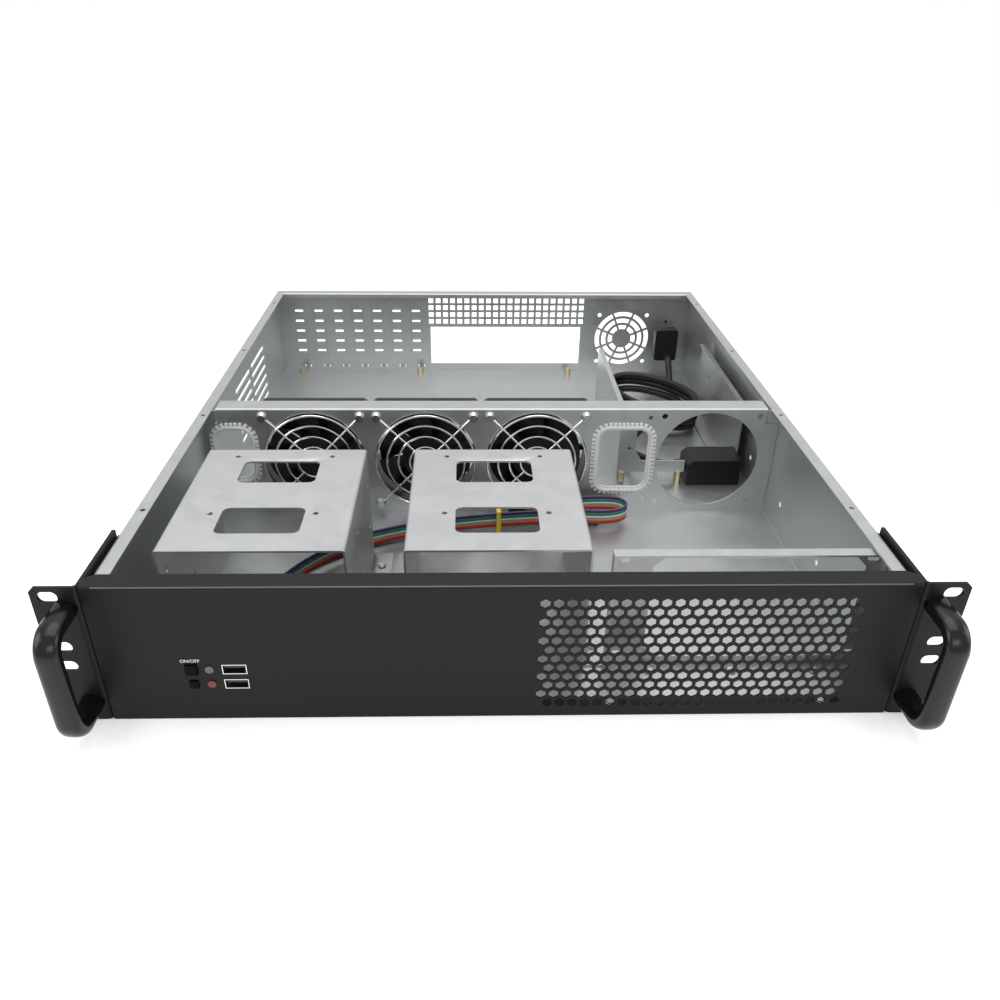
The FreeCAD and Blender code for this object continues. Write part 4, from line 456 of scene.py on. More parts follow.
def block(size: Point, place: Vector | Point = (0, 0, 0), ease: float = 0.0, sides: int = 2,
          turn: float = 0.0) -> Object:
    """Make a block.

    Args:
        size: its size along each axis.
        place: its middle.
        ease: radius of its edges, or 0 for sharp ones.
        sides: facets of a rounded edge.
        turn: turn about Z.

    Returns:
        The block.
    """
    bpy.ops.mesh.primitive_cube_add(size=1.0, location=place, rotation=(0, 0, turn))
    made = bpy.context.object
    made.dimensions = size
    bpy.ops.object.transform_apply(location=False, rotation=False)
    if ease:
        bevel = made.modifiers.new("ease", "BEVEL")
        bevel.width = ease
        bevel.segments = sides
    return settle(made, "block")


def dress(item: Object, finish: Finish) -> None:
    """Give an object one finish."""
    item.data.materials.clear()
    item.data.materials.append(finish.material())


def spline(name: str, points: Sequence[Vector], radius: float, sides: int = 6) -> Object:
    """Make a round cord on one smooth NURBS spline.

    Args:
        name: the object's name.
        points: control points in the row frame.
        radius: the cord's radius, or 0 for a bare line.
        sides: resolution of the round section.

    Returns:
        The curve object.
    """
    curve = bpy.data.curves.new(name, "CURVE")
    curve.dimensions = "3D"
    curve.bevel_depth = radius
    curve.bevel_resolution = sides
    curve.use_fill_caps = True
    line = curve.splines.new("NURBS")
    line.points.add(len(points) - 1)
    for spot, point in zip(line.points, points):
        spot.co = (*point, 1.0)
    line.order_u = 3
    line.use_endpoint_u = True
    line.resolution_u = 10
    return linked(name, curve)


def centreline(points: Sequence[Vector]) -> list[Vector]:
    """Read the smooth line through control points from a bare NURBS spline."""
    bare = spline("bare_line", points, 0.0)
    bpy.context.view_layer.update()
    graph = bpy.context.evaluated_depsgraph_get()
    shape = bpy.data.meshes.new_from_object(bare.evaluated_get(graph))
    line = [vertex.co.copy() for vertex in shape.vertices]
    bpy.data.objects.remove(bare)
    return line


def length_of(line: Sequence[Vector]) -> float:
    """Return the length of a line of points."""
    return sum((b - a).length for a, b in zip(line, line[1:]))


def to_mesh(item: Object, name: str) -> Object:
    """Convert a curve object to a mesh object."""
    activate(item)
    bpy.ops.object.convert(target="MESH")
    return settle(bpy.context.object, name, 60.0)


# ---- pieces
@dataclass
class CarriedNodes:
    """The CAD nodes that show as they are, each with its finish."""

    finishes: dict[Finishes, tuple[str, ...]] = field(default_factory=lambda: {
        Finishes.STEEL: ("base_tray", "rear_panel", "fan_wall", "mount_plate", "bay_guide",
                         "slot_cover"),
        Finishes.PANEL: ("front_panel", "ear_left", "ear_right"),
        Finishes.DARK_SCREW: ("handle_screws", "ear_screws"),
        Finishes.ZINC: ("small_screws", "rear_screws", "fan_screws"),
        Finishes.BRASS: ("standoffs",),
        Finishes.FAN: ("fan_frame",),
        Finishes.BUTTON: ("power_button", "reset_button"),
        Finishes.PLASTIC: ("switches", "mains_inlet", "inlet_boot", "mains_plug", "ribbon_plug",
                           "usb_plug", "ribbon_end_plug", "usb_end_plug"),
        Finishes.CLEAR: ("power_light",),
        Finishes.RED: ("drive_light",),
        Finishes.SHELL: ("usb_port",),
        Finishes.INSERT: ("usb_tongues",),
        Finishes.BOARD: ("control_board",),
        Finishes.GOLD: ("inlet_pins",),
        Finishes.TIE: ("lead_tie",),
    })
    smooth: float = 32.0

    def build(self) -> None:
        """Smooth each carried node's shading and give it its finish."""
        for name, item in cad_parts.items():
            if item.hide_render:
                continue
            finish = next((finish for finish, starts in self.finishes.items()
                           if name.startswith(starts)), None)
            if finish is None:
                raise ValueError("no finish for " + name)
            activate(item)
            bpy.ops.object.shade_smooth_by_angle(angle=math.radians(self.smooth))
            dress(item, finish.value)
        log.info("carried nodes dressed")


@dataclass
class FanGuard:
    """Round wire guard in front of one fan, in place of its flat CAD stand-in."""

    index: int
    wire: float = 0.8 * MM
    rings: tuple[float, ...] = (12.2, 20.7, 29.2, 37.2)
    loop: float = 3.0 * MM
    screw_pitch: float = 71.5 * MM
    ring_rise: float = 1.15
    leg_rise: float = 1.02
    loop_wire: float = 0.98
    ring_sides: int = 72
    loop_sides: int = 28
    wire_sides: int = 10
    legs: int = 4

    def build(self) -> Object:
        """Make rings, legs and screw loops, and join them."""
        node = "fan_guard_%d" % (self.index + 1)
        low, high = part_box(node)
        centre = (low + high) / 2
        back, front = high.y, low.y
        parts = []
        for size in self.rings:
            place = (centre.x, front + self.wire * self.ring_rise, centre.z)
            parts.append(self.ring(place, size * MM, self.wire, self.ring_sides))
        reach = self.screw_pitch / math.sqrt(2)
        for turn in range(self.legs):
            angle = math.tau * (turn + 0.5) / self.legs
            ray = Vector((math.cos(angle), 0, math.sin(angle)))
            corner = Vector((centre.x, back - self.wire, centre.z)) + ray * reach
            inner = Vector((centre.x, back - self.wire * self.leg_rise, centre.z))
            parts.append(self.leg(inner + ray * self.rings[0] * MM, corner - ray * self.loop))
            parts.append(self.ring(corner, self.loop, self.wire * self.loop_wire, self.loop_sides))
        guard = join(parts, "wire_guard_%d" % (self.index + 1))
        dress(guard, Finishes.WIRE.value)
        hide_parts(node)
        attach(guard, "case")
        return guard

    def ring(self, place: Vector | Point, size: float, wire: float, sides: int) -> Object:
        """Make one round wire that faces the front."""
        bpy.ops.mesh.primitive_torus_add(
            location=place, rotation=FACING_FRONT, major_radius=size, minor_radius=wire,
            major_segments=sides, minor_segments=self.wire_sides)
        return settle(bpy.context.object, "ring")

    def leg(self, start: Vector, end: Vector) -> Object:
        """Make one straight wire between two points."""
        run = end - start
        bpy.ops.mesh.primitive_cylinder_add(vertices=self.wire_sides + 2, radius=self.wire,
                                            depth=run.length, location=(start + end) / 2)
        rod = bpy.context.object
        rod.rotation_mode = "QUATERNION"
        rod.rotation_quaternion = run.to_track_quat("Z", "Y")
        return settle(rod, "leg")


@dataclass
class Handle:
    """Rounded flat-oval bail handle, in place of the CAD handle's faceted bar."""

    side: str
    bar_width: float = 13.0 * MM
    bar_thickness: float = 9.0 * MM
    bend: float = 11.0 * MM
    fullness: float = 2.5
    sides: int = 40
    bend_steps: int = 12

    def build(self) -> Object:
        """Sweep the oval section along the handle's line and close its feet."""
        node = "handle_" + self.side
        low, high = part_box(node)
        middle = (low.x + high.x) / 2
        path = self.line(low.y + self.bar_thickness / 2, high.y, low.z + self.bar_thickness / 2,
                         high.z - self.bar_thickness / 2)
        section = self.section()
        spots: list[Vector] = []
        for place, tangent in path:
            across = Vector((1, 0, 0))
            outward = tangent.cross(across)
            centre = Vector((middle, 0, 0)) + place
            spots += [centre + across * u + outward * v for u, v in section]
        count = len(section)
        faces = [tuple(reversed(range(count))), tuple(range(len(spots) - count, len(spots)))]
        for ring in range(len(path) - 1):
            for side in range(count):
                near, far = ring * count + side, ring * count + (side + 1) % count
                faces.append((near, far, far + count, near + count))
        handle = settle(meshed("handle", spots, faces), "bail_handle_" + self.side, 60.0)
        activate(handle)
        with editing():
            bpy.ops.mesh.normals_make_consistent(inside=False)
        dress(handle, Finishes.HANDLE.value)
        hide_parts(node)
        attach(handle, "case")
        return handle

    def section(self) -> list[tuple[float, float]]:
        """Return the flat oval outline of the bar."""
        outline = []
        for step in range(self.sides):
            angle = math.tau * step / self.sides
            u, v = (math.copysign(abs(w) ** (2 / self.fullness), w)
                    for w in (math.cos(angle), math.sin(angle)))
            outline.append((u * self.bar_width / 2, v * self.bar_thickness / 2))
        return outline

    def line(self, front: float, back: float, low: float,
             high: float) -> list[tuple[Vector, Vector]]:
        """Return places and directions along the handle's middle, from foot to foot."""
        path = [(Vector((0, back, low)), Vector((0, -1, 0)))]
        for centre, start in ((low + self.bend, -90), (high - self.bend, -180)):
            for step in range(self.bend_steps + 1):
                angle = math.radians(start - 90 * step / self.bend_steps)
                ray = Vector((0, math.cos(angle), math.sin(angle)))
                place = Vector((0, front + self.bend, centre)) + ray * self.bend
                path.append((place, Vector((0, math.sin(angle), -math.cos(angle)))))
        path.append((Vector((0, back, high)), Vector((0, 1, 0))))
        return path


@dataclass
class BracketTop:
    """A drive bracket whose top windows have rounded corners."""

    side: str
    window: tuple[float, float] = (48.8 * MM, 30.0 * MM)
    rows: tuple[float, float] = (75.0 * MM, 137.5 * MM)
    corner: float = 4.6 * MM
    sheet: float = 1.2 * MM
    lap: float = 3.0 * MM
    shy: float = 0.01 * MM
    reach: float = 24.0 * MM
    corner_sides: int = 6

    def build(self) -> Object:
        """Copy the bracket, close its windows and cut them again with round corners."""
        node = "drive_bracket_" + self.side
        low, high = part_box(node)
        bracket = linked("bracket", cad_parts[node].data.copy())
        activate(bracket)
        with editing():
            bpy.ops.mesh.remove_doubles(threshold=WELD)
        middle = (low.x + high.x) / 2
        for row in self.rows:
            place = Vector((middle, row - HALF_DEPTH, high.z - self.sheet / 2))
            lid = (self.window[0] + self.lap, self.window[1] + self.lap, self.sheet - self.shy)
            combine(bracket, block(lid, place), "UNION")
            plug = block((*self.window, self.reach), place, self.corner, self.corner_sides)
            combine(bracket, plug, "DIFFERENCE")
        piece = settle(bracket, "bracket_" + self.side, 32.0)
        even = piece.modifiers.new("even", "WEIGHTED_NORMAL")
        even.weight = 100
        even.keep_sharp = True
        activate(piece)
        bpy.ops.object.modifier_apply(modifier=even.name)
        dress(piece, Finishes.BRACKET.value)
        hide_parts(node)
        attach(piece, "case")
        return piece


@dataclass
class FanBlades:
    """A fan's rotor with cambered, overlapping blades, in place of its straight CAD blades."""

    index: int
    blades: int = 7
    hub: float = 17.5 * MM
    chord: float = math.radians(60)
    twist: float = math.radians(9)
    thickness: float = 1.1 * MM
    camber: float = 0.9 * MM
    taper: float = 0.18
    root: float = 0.4 * MM
    tip_gap: float = 0.2 * MM
    cup_front: float = 0.1 * MM
    cup_depth: float = 15.0 * MM
    blade_front: float = 2.2 * MM
    blade_back: float = 13.6 * MM
    rim: float = 1.6 * MM
    dish: float = 0.6 * MM
    rim_round: float = 0.8 * MM

    def build(self) -> Object:
        """Make the hub cup and one blade, repeat the blade round the hub and join them."""
        node = "fan_rotor_%d" % (self.index + 1)
        low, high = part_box(node)
        centre = Vector(((low.x + high.x) / 2, 0, (low.z + high.z) / 2))
        tip = (high.x - low.x) / 2 - self.tip_gap
        parts = [self.cup(centre, low.y + self.cup_front)]
        blade = self.blade(tip, low.y + self.blade_front, low.y + self.blade_back)
        for turn in range(self.blades):
            copy = twin(blade)
            copy.rotation_euler = (0, math.tau * turn / self.blades, 0)
            copy.location = centre
            apply_place(copy)
            parts.append(copy)
        bpy.data.objects.remove(blade)
        rotor = join(parts, "bladed_rotor_%d" % (self.index + 1))
        dress(rotor, Finishes.FAN.value)
        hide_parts(node)
        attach(rotor, "rotor_%d" % (self.index + 1))
        return rotor

    def cup(self, centre: Vector, front: float) -> Object:
        """Turn the hub: a cup with a rounded rim and a shallow dish in its front."""
        bpy.ops.mesh.primitive_cylinder_add(
            vertices=64, radius=self.hub, depth=self.cup_depth, rotation=FACING_FRONT,
            location=(centre.x, front + self.cup_depth / 2, centre.z))
        cup = bpy.context.object
        with editing(whole=False):
            bpy.ops.mesh.select_mode(type="FACE")
        for face in cup.data.polygons:
            face.select = face.normal.z > 0.9
        with editing(whole=False):
            bpy.ops.mesh.inset(thickness=self.rim)
            bpy.ops.mesh.extrude_region_move(TRANSFORM_OT_translate={"value": (0, self.dish, 0)})
        bevel = cup.modifiers.new("rim", "BEVEL")
        bevel.width = self.rim_round
        bevel.segments = 3
        bevel.limit_method = "ANGLE"
        return settle(cup, "cup")

    def blade(self, tip: float, front: float, back: float) -> Object:
        """Make one blade as a twisted, cambered sheet given its thickness.

        Args:
            tip: radius of the blade's outer end.
            front: Y of its leading edge.
            back: Y of its trailing edge.

        Returns:
            The blade about the rotor's axis.
        """
        spans, chords = 8, 10
        spots, faces = [], []
        for i in range(spans + 1):
            share = i / spans
            radius = self.hub - self.root + (tip - self.hub + self.root) * share
            sweep = self.twist * share
            for j in range(chords + 1):
                across = j / chords
                angle = sweep + self.chord * (across - 0.5)
                rise = (back - front) * across * (1 - self.taper * share)
                y = front + rise - self.camber * math.sin(math.pi * across)
                spots.append((radius * math.cos(angle), y, radius * math.sin(angle)))
        for i in range(spans):
            for j in range(chords):
                at = i * (chords + 1) + j
                faces.append((at, at + 1, at + chords + 2, at + chords + 1))
        blade = meshed("blade", spots, faces)
        solid = blade.modifiers.new("sheet", "SOLIDIFY")
        solid.thickness = self.thickness
        solid.offset = 0.0
        return settle(blade, "blade", 50.0)


@dataclass
class PanHeads:
    """Cross-recessed pan heads over the plain heads of one CAD group of screws."""

    node: str
    finish: Finishes
    facing: Point
    below: float = 1.0
    radius: float = 3.0 * MM
    bulge: float = 1.02
    flatness: float = 0.5
    sink: float = 0.05 * MM
    recess: tuple[float, float] = (3.23 * MM, 0.684 * MM)

    def build(self) -> Object:
        """Model one head and copy it onto each screw of the group."""
        pattern = self.head()
        facing = Vector(self.facing)
        heads = []
        for low, high in self.screws():
            if high.z > self.below:
                continue
            half = (high - low) / 2
            top = low + half + Vector([a * b for a, b in zip(facing, half)])
            head = twin(pattern)
            head.rotation_mode = "QUATERNION"
            head.rotation_quaternion = facing.to_track_quat("Z", "Y")
            head.location = top
            heads.append(head)
        bpy.data.objects.remove(pattern)
        apply_place(*heads)
        whole = join(heads, self.node + "_heads")
        dress(whole, self.finish.value)
        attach(whole, "case")
        return whole

    def screws(self) -> list[tuple[Vector, Vector]]:
        """Return the box of each separate screw of the group."""
        activate(linked("group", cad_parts[self.node].data.copy()))
        with editing():
            bpy.ops.mesh.remove_doubles(threshold=WELD)
            bpy.ops.mesh.separate(type="LOOSE")
        boxes = []
        for screw in list(bpy.context.selected_objects):
            spots = [vertex.co for vertex in screw.data.vertices]
            boxes.append(tuple(Vector([pick(spot[axis] for spot in spots) for axis in range(3)])
                               for pick in (min, max)))
            bpy.data.objects.remove(screw)
        return boxes

    def head(self) -> Object:
        """Model a domed head with a cross recess, its crown at the origin and facing up."""
        bpy.ops.mesh.primitive_uv_sphere_add(segments=24, ring_count=12,
                                             radius=self.radius * self.bulge)
        dome = bpy.context.object
        dome.scale = (1, 1, self.flatness)
        bpy.ops.object.transform_apply(location=False, rotation=False, scale=True)
        with editing():
            bpy.ops.mesh.bisect(plane_co=(0, 0, 0), plane_no=(0, 0, 1), clear_inner=True,
                                use_fill=True)
        crown = self.radius * self.flatness
        for turn in (0, 90):
            slot = block((*self.recess, crown), (0, 0, crown), turn=math.radians(turn))
            combine(dome, slot, "DIFFERENCE")
        dome.location = (0, 0, self.sink - crown)
        return settle(dome, "head", 40.0)


@dataclass
class Edging:
    """Serrated plastic edging round a cable window, in place of its plain CAD ring."""

    side: str
    corner: float = 10.0 * MM
    lip: float = 3.4 * MM
    inside: float = 1.6 * MM
    tooth: float = 2.45 * MM
    pitch: float = 3.2 * MM
    wall: float = 1.35 * MM
    band: float = 1.5 * MM
    gap: float = 0.05 * MM
    ease: float = 0.35 * MM
    steps: int = 96

    def build(self) -> Object:
        """Make the lining and a tooth at each step round the window on both faces."""
        node = "edging_" + self.side
        low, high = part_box(node)
        centre = (low + high) / 2
        width = high.x - low.x - 2 * self.lip
        height = high.z - low.z - 2 * self.lip
        depth = high.y - low.y
        parts = [self.strip(centre, width, height, -self.inside / 2,
                            self.inside / 2 - self.gap, depth / 2 - 3 * self.gap)]
        for y in (low.y + self.wall / 2, high.y - self.wall / 2):
            ring = Vector((centre.x, y, centre.z))
            parts.append(self.strip(ring, width, height, (self.band - self.inside) / 2,
                                    (self.band + self.inside) / 2, self.wall / 2))
        pattern = block((self.lip + self.inside, self.wall, self.tooth), ease=self.ease)
        steps = round(self.around(width, height) / self.pitch)
        for step in range(steps):
            spot, outward = self.at(step / steps, width, height)
            for y in (low.y + self.wall / 2 + self.gap, high.y - self.wall / 2 - self.gap):
                tooth = twin(pattern)
                middle = spot + outward * (self.lip - self.inside) / 2
                tooth.location = (centre.x + middle.x, y, centre.z + middle.z)
                tooth.rotation_euler = (0, -math.atan2(outward.z, outward.x), 0)
                parts.append(tooth)
        bpy.data.objects.remove(pattern)
        apply_place(*parts)
        whole = join(parts, "serrated_edging_" + self.side)
        dress(whole, Finishes.EDGING.value)
        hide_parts(node)
        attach(whole, "case")
        return whole

    def around(self, width: float, height: float) -> float:
        """Return the length round a window with round corners."""
        return 2 * (width + height) - (8 - 2 * math.pi) * self.corner

    def at(self, share: float, width: float, height: float) -> tuple[Vector, Vector]:
        """Find a place on the window's edge.

        Args:
            share: how far round the edge, from 0 to 1.
            width: window width.
            height: window height.

        Returns:
            The place about the window's middle, and the outward direction there.
        """
        left = share * self.around(width, height)
        flat = (height - 2 * self.corner, width - 2 * self.corner)
        arc = math.pi / 2 * self.corner
        for quarter in range(4):
            turn = Matrix.Rotation(-quarter * math.pi / 2, 3, "Y")
            run, other = flat[quarter % 2], flat[(quarter + 1) % 2]
            reach = other / 2 + self.corner
            if left <= run:
                return turn @ Vector((reach, 0, left - run / 2)), turn @ Vector((1, 0, 0))
            left -= run
            if left <= arc:
                angle = left / self.corner
                outward = Vector((math.cos(angle), 0, math.sin(angle)))
                middle = Vector((other / 2, 0, run / 2))
                return turn @ (middle + outward * self.corner), turn @ outward
            left -= arc
        return Vector((flat[1] / 2 + self.corner, 0, -flat[0] / 2)), Vector((1, 0, 0))

    def strip(self, centre: Vector, width: float, height: float, offset: float, half_wall: float,
              half_depth: float) -> Object:
        """Sweep a rectangular section round the window.

        Args:
            centre: middle of the swept ring.
            width: window width.
            height: window height.
            offset: how far outside the window's edge the section's middle runs.
            half_wall: half of the section's size across the edge.
            half_depth: half of the section's size along Y.

        Returns:
            The swept ring.
        """
        curve = bpy.data.curves.new("lining", "CURVE")
        curve.dimensions = "3D"
        line = curve.splines.new("POLY")
        line.points.add(self.steps - 1)
        for step, spot in enumerate(line.points):
            place, outward = self.at(step / self.steps, width, height)
            place = place + outward * offset
            spot.co = (centre.x + place.x, centre.y, centre.z + place.z, 1.0)
        line.use_cyclic_u = True
        item = linked("lining", curve)
        profile = bpy.data.curves.new("lining_section", "CURVE")
        profile.dimensions = "2D"
        outline = profile.splines.new("POLY")
        outline.points.add(3)
        corners = ((-1, -1), (1, -1), (1, 1), (-1, 1))
        for spot, (u, v) in zip(outline.points, corners):
            spot.co = (u * half_wall, v * half_depth, 0, 1.0)
        outline.use_cyclic_u = True
        section = bpy.data.objects.new("lining_section", profile)
        curve.bevel_mode = "OBJECT"
        curve.bevel_object = section
        made = to_mesh(item, "lining")
        bpy.data.objects.remove(section)
        return made


@dataclass
class Leads:
    """The control ribbon, the USB lead and the mains lead with its hank."""

    ribbon_route: tuple[Point, ...] = (
        (-152, 32.6, 12), (-152, 44, 12), (-154, 60, 12), (-154, 82, 12), (-148, 106, 12),
        (-136, 130, 12), (-118, 153, 12), (-92, 174, 12), (-58, 188, 12), (-18, 198, 12),
        (26, 204, 12), (62, 206, 12), (88, 204, 12), (103, 212, 12), (99, 226, 12), (80, 228, 12),
        (52, 224, 12), (26, 224, 12),
    )
    usb_route: tuple[Point, ...] = (
        (-163, 28.6, 10), (-163, 40, 10), (-165, 56, 7.4), (-167, 78, 4.2), (-160, 104, 3.6),
        (-146, 132, 3.6), (-124, 158, 3.6), (-94, 180, 3.6), (-58, 195, 4.4), (-18, 207, 5.2),
        (20, 213, 5.2), (46, 213.6, 4.6), (68, 213.6, 4.6),
    )
    mains_rear_route: tuple[Point, ...] = (
        (188, 514, 28.5), (188, 506, 28.5), (188, 499.5, 24), (188, 492, 15.5), (187.5, 481, 8),
        (188, 468, 4.8),
    )
    mains_front_route: tuple[Point, ...] = (
        (152, 363, 25.5), (138, 356, 19.5), (127.5, 346, 13), (120.5, 333, 10.6), (118.5, 317, 13),
        (124, 303.5, 15.6), (133.5, 294, 15.6), (144.5, 290.6, 13.2), (153, 290.6, 13.2),
    )
    ribbon_width: float = 12.0 * MM
    usb_size: float = 4.4 * MM
    mains_size: float = 6.6 * MM
    hank_centre: tuple[float, float] = (158.0, 424.0)
    hank_half: tuple[float, float] = (32.0, 46.0)
    hank_turns: int = 3
    hank_pitch: float = 7.2
    hank_floor: float = 4.6
    hank_lean: float = 18.0
    hank_start: float = 40.0
    hank_steps: int = 14
    hank_first: int = 3
    hank_extra: int = 6
    hank_drift: tuple[float, float] = (1.5, 2.5)
    overlap: float = 1.02

    def build(self) -> None:
        self.ribbon()
        usb = spline("usb_cord", in_case(self.usb_route), self.usb_size / 2)
        self.declare(usb, self.usb_route, self.usb_size, ["usb_plug", "usb_end_plug"], "connector",
                     "medium", "usb_lead")
        mains = spline("mains_cord", in_case(self.mains_points()), self.mains_size / 2, 8)
        self.declare(mains, self.mains_points(), self.mains_size, ["mains_plug"], "connector",
                     "medium", "mains_lead_rear", "mains_hank", "mains_lead_front")

    def declare(self, item: Object, route: Sequence[Point], size: float,
                pieces: list[str], far_end: str, stiffness: str, *nodes: str) -> None:
        item.data.materials.append(Finishes.CORD.value.material())
        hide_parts(*nodes)
        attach(item, "case")
        line = centreline(in_case(route))
        log.info("%s: %.0f mm", item.name, length_of(line) / MM)

    def mains_points(self) -> list[Point]:
        """Return the mains lead's points: down from the inlet, round the hank, to the plug."""
        points = list(self.mains_rear_route)
        cx, cy = self.hank_centre
        for step in range(self.hank_first, self.hank_turns * self.hank_steps + self.hank_extra):
            lane = step / self.hank_steps
            angle = math.radians(self.hank_start) - math.tau * lane
            half_x = self.hank_half[0] - self.hank_drift[0] * math.sin(lane * 2.1)
            half_y = self.hank_half[1] - self.hank_drift[1] * math.cos(lane * 1.7)
            points.append((cx + half_x * math.cos(angle) - self.hank_lean * math.sin(angle),
                           cy + half_y * math.sin(angle),
                           self.hank_floor + self.hank_pitch * lane))
        return points + list(self.mains_front_route)

    def ribbon(self) -> None:
        """Make the ribbon as fused coloured wires, one above the other."""
        strands = list(Strand)
        radius = self.ribbon_width / len(strands) / 2
        parts = []
        for index, strand in enumerate(strands):
            lift = (self.ribbon_width / 2 - radius - 2 * radius * index) / MM
            route = [(x, y, z + lift) for x, y, z in self.ribbon_route]
            wire = spline("strand", in_case(route), radius * self.overlap, 3)
            mesh = to_mesh(wire, "strand_%d" % index)
            dress(mesh, strand.finish())
            parts.append(mesh)
        ribbon = join(parts, "ribbon_cord")
        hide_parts("control_ribbon")
        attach(ribbon, "case")
        line = centreline(in_case(self.ribbon_route))
        log.info("ribbon: %.0f mm", length_of(line) / MM)


@dataclass
class PaintedFoldHighlight:
    """Painted highlight on the front panel's upper fold: a lighter, glossier bead that stands in
    for the light caught on the bend.
    """

    bead: float = 0.42 * MM
    fold: float = 1.2 * MM
    short: float = 6.0 * MM
    sunk: float = 0.7

    def build(self) -> Object:
        """Lay a fine half-sunk bead of lighter colour along the fold, as a painted highlight."""
        low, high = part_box("front_panel")
        inset = self.fold * (1 - math.sqrt(0.5)) + self.bead * self.sunk
        ends = [Vector((x, -HALF_DEPTH + inset, high.z - inset))
                for x in (low.x + self.short, high.x - self.short)]
        # painted highlight: the bead's lighter colour stands in for the light on the panel's bend
        fold = spline("panel_fold", [ends[0], ends[0].lerp(ends[1], 0.5), ends[1]], self.bead, 4)
        piece = to_mesh(fold, "panel_fold")
        dress(piece, Finishes.FOLD.value)
        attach(piece, "case")
        return piece


@dataclass
class Lettering:
    """Plain ON/OFF print above the power button."""

    words: str = "ON/OFF"
    size: float = 2.9 * MM
    above: float = 0.8 * MM
    ahead: float = 0.06 * MM
    thick: float = 0.03 * MM

    def build(self) -> Object:
        """Make the flat print just in front of the panel's face."""
        low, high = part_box("power_button")
        place = ((low.x + high.x) / 2, -HALF_DEPTH - self.ahead, high.z + self.above)
        bpy.ops.object.text_add(location=place, rotation=FACING_FRONT)
        text = bpy.context.object
        text.data.body = self.words
        text.data.size = self.size
        text.data.align_x = "CENTER"
        text.data.extrude = self.thick
        mesh = to_mesh(text, "button_print")
        dress(mesh, Finishes.PRINT.value)
        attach(mesh, "case")
        return mesh


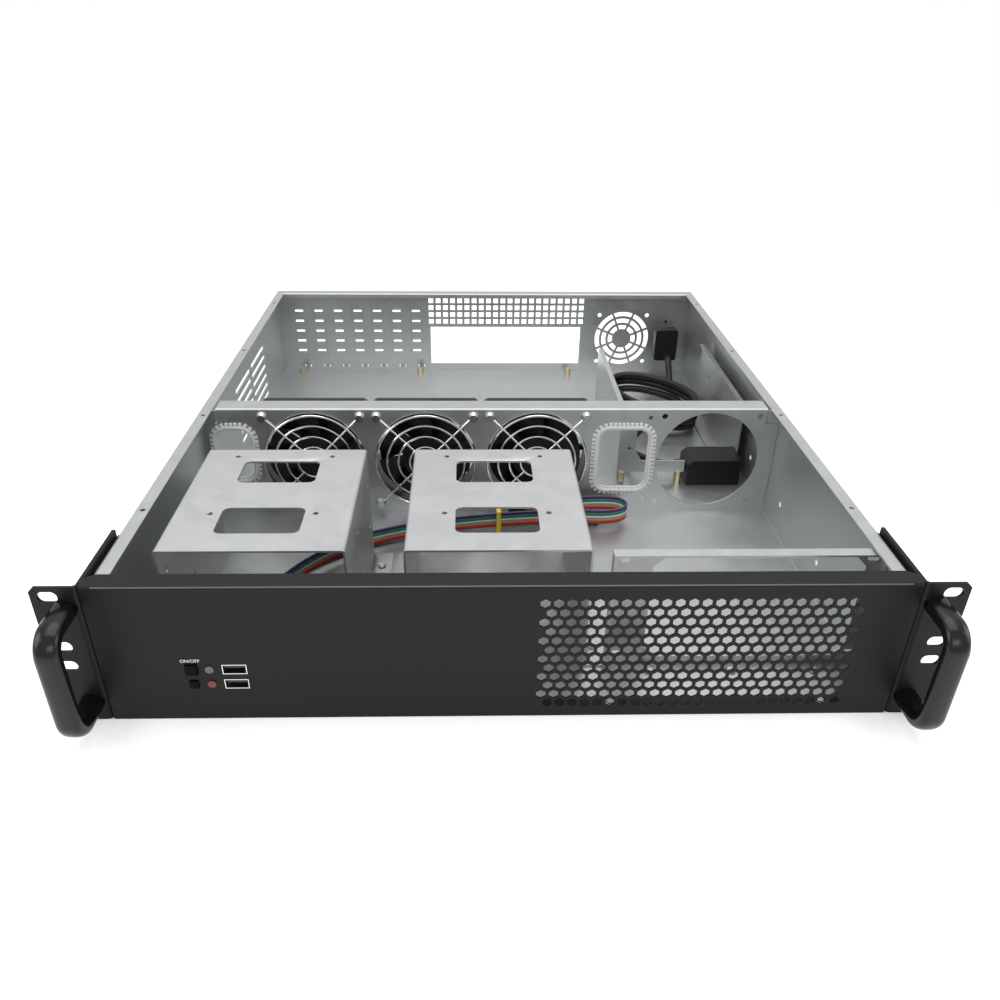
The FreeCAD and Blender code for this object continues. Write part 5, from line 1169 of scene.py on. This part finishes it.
# ---- stage
@dataclass
class Studio:
    """Pale sweep, soft lights and the camera."""

    eye: Point = (-19.33, -371.64, 339.17)
    pitch: float = 32.31
    yaw: float = 1.62
    roll: float = 0.63
    lens: float = 31.745
    shift: tuple[float, float] = (0.0108, 0.0593)
    sensor: float = 36.0
    world: float = 0.75
    floor_size: float = 12.0
    floor_drop: float = 0.4 * MM
    target: Point = (0.0, -0.05, 0.03)

    def build(self) -> None:
        """Make the whole stage."""
        self.floor()
        self.background()
        self.lights()
        self.camera()
        bpy.context.scene.view_settings.view_transform = "Standard"

    def floor(self) -> None:
        """Lay a large pale floor."""
        bpy.ops.mesh.primitive_plane_add(size=self.floor_size, location=(0, 0, -self.floor_drop))
        floor = bpy.context.object
        floor.name = "floor"
        dress(floor, Sweep("floor_look", (0.92, 0.92, 0.92), 0.0, 0.6, 0.005))

    def background(self) -> None:
        """Show white to the camera and in reflections, and a softer sky to the rest."""
        world = bpy.data.worlds.new("studio")
        bpy.context.scene.world = world
        world.use_nodes = True
        tree = world.node_tree
        tree.nodes.clear()
        output = tree.nodes.new("ShaderNodeOutputWorld")
        seen, sky = (tree.nodes.new("ShaderNodeBackground") for _ in range(2))
        seen.inputs["Strength"].default_value = 1.0
        sky.inputs["Strength"].default_value = self.world
        rays = tree.nodes.new("ShaderNodeLightPath")
        either = tree.nodes.new("ShaderNodeMath")
        either.operation = "MAXIMUM"
        mix = tree.nodes.new("ShaderNodeMixShader")
        links = ((rays.outputs["Is Camera Ray"], either.inputs[0]),
                 (rays.outputs["Is Transmission Ray"], either.inputs[1]),
                 (either.outputs[0], mix.inputs[0]), (sky.outputs[0], mix.inputs[1]),
                 (seen.outputs[0], mix.inputs[2]), (mix.outputs[0], output.inputs[0]))
        for source, target in links:
            tree.links.new(source, target)
        for shade in (seen, sky):
            shade.inputs["Color"].default_value = (1.0, 1.0, 1.0, 1.0)

    def lights(self) -> None:
        """Hang soft boxes over, beside and in front of the case."""
        boxes = (
            ("overhead", (0.0, 0.2, 1.6), (1.8, 1.6), 20.0),
            ("left_box", (-1.5, -0.5, 0.9), (1.0, 1.0), 9.0),
            ("right_box", (1.6, -0.3, 0.8), (1.0, 1.0), 7.0),
            ("front_box", (0.2, -1.9, 1.1), (1.6, 0.6), 8.0),
        )
        for name, place, size, power in boxes:
            bpy.ops.object.light_add(type="AREA", location=place)
            lamp = bpy.context.object
            lamp.name = name
            lamp.data.shape = "RECTANGLE"
            lamp.data.size, lamp.data.size_y = size
            lamp.data.energy = power
            aim = Vector(self.target) - Vector(place)
            lamp.rotation_mode = "QUATERNION"
            lamp.rotation_quaternion = aim.to_track_quat("-Z", "Y")

    def camera(self) -> None:
        """Stand the camera above and in front of the case, looking down into it."""
        pitch, yaw, roll = (math.radians(v) for v in (self.pitch, self.yaw, self.roll))
        forward = Vector((math.sin(yaw) * math.cos(pitch), math.cos(yaw) * math.cos(pitch),
                          -math.sin(pitch)))
        right = Vector((math.cos(yaw), -math.sin(yaw), 0))
        up = right.cross(forward)
        tilted_right = right * math.cos(roll) + up * math.sin(roll)
        tilted_up = up * math.cos(roll) - right * math.sin(roll)
        axes = Matrix((tilted_right, tilted_up, -forward)).transposed().to_4x4()
        data = bpy.data.cameras.new("camera")
        data.lens = self.lens
        data.sensor_width = self.sensor
        data.shift_x, data.shift_y = self.shift
        data.clip_start = 0.01
        camera = linked("camera", data)
        camera.matrix_world = Matrix.Translation(in_case([self.eye])[0]) @ axes
        bpy.context.scene.camera = camera


def main() -> None:
    """Build the stage, the leads and the drawn pieces, then dress the carried nodes."""
    logging.basicConfig(level=logging.INFO)
    Studio().build()
    Leads().build()
    pieces = [kind(index) for index in range(3) for kind in (FanGuard, FanBlades)]
    pieces += [kind(side) for side in ("left", "right") for kind in (Edging, Handle, BracketTop)]
    pieces += [PanHeads("fan_screws", Finishes.ZINC, (0, -1, 0)),
               PanHeads("small_screws", Finishes.ZINC, (0, 0, 1), 14 * MM),
               PaintedFoldHighlight(), Lettering()]
    for piece in pieces:
        log.info("%s built", piece.build().name)
    CarriedNodes().build()


if __name__ == "__main__":
    main()
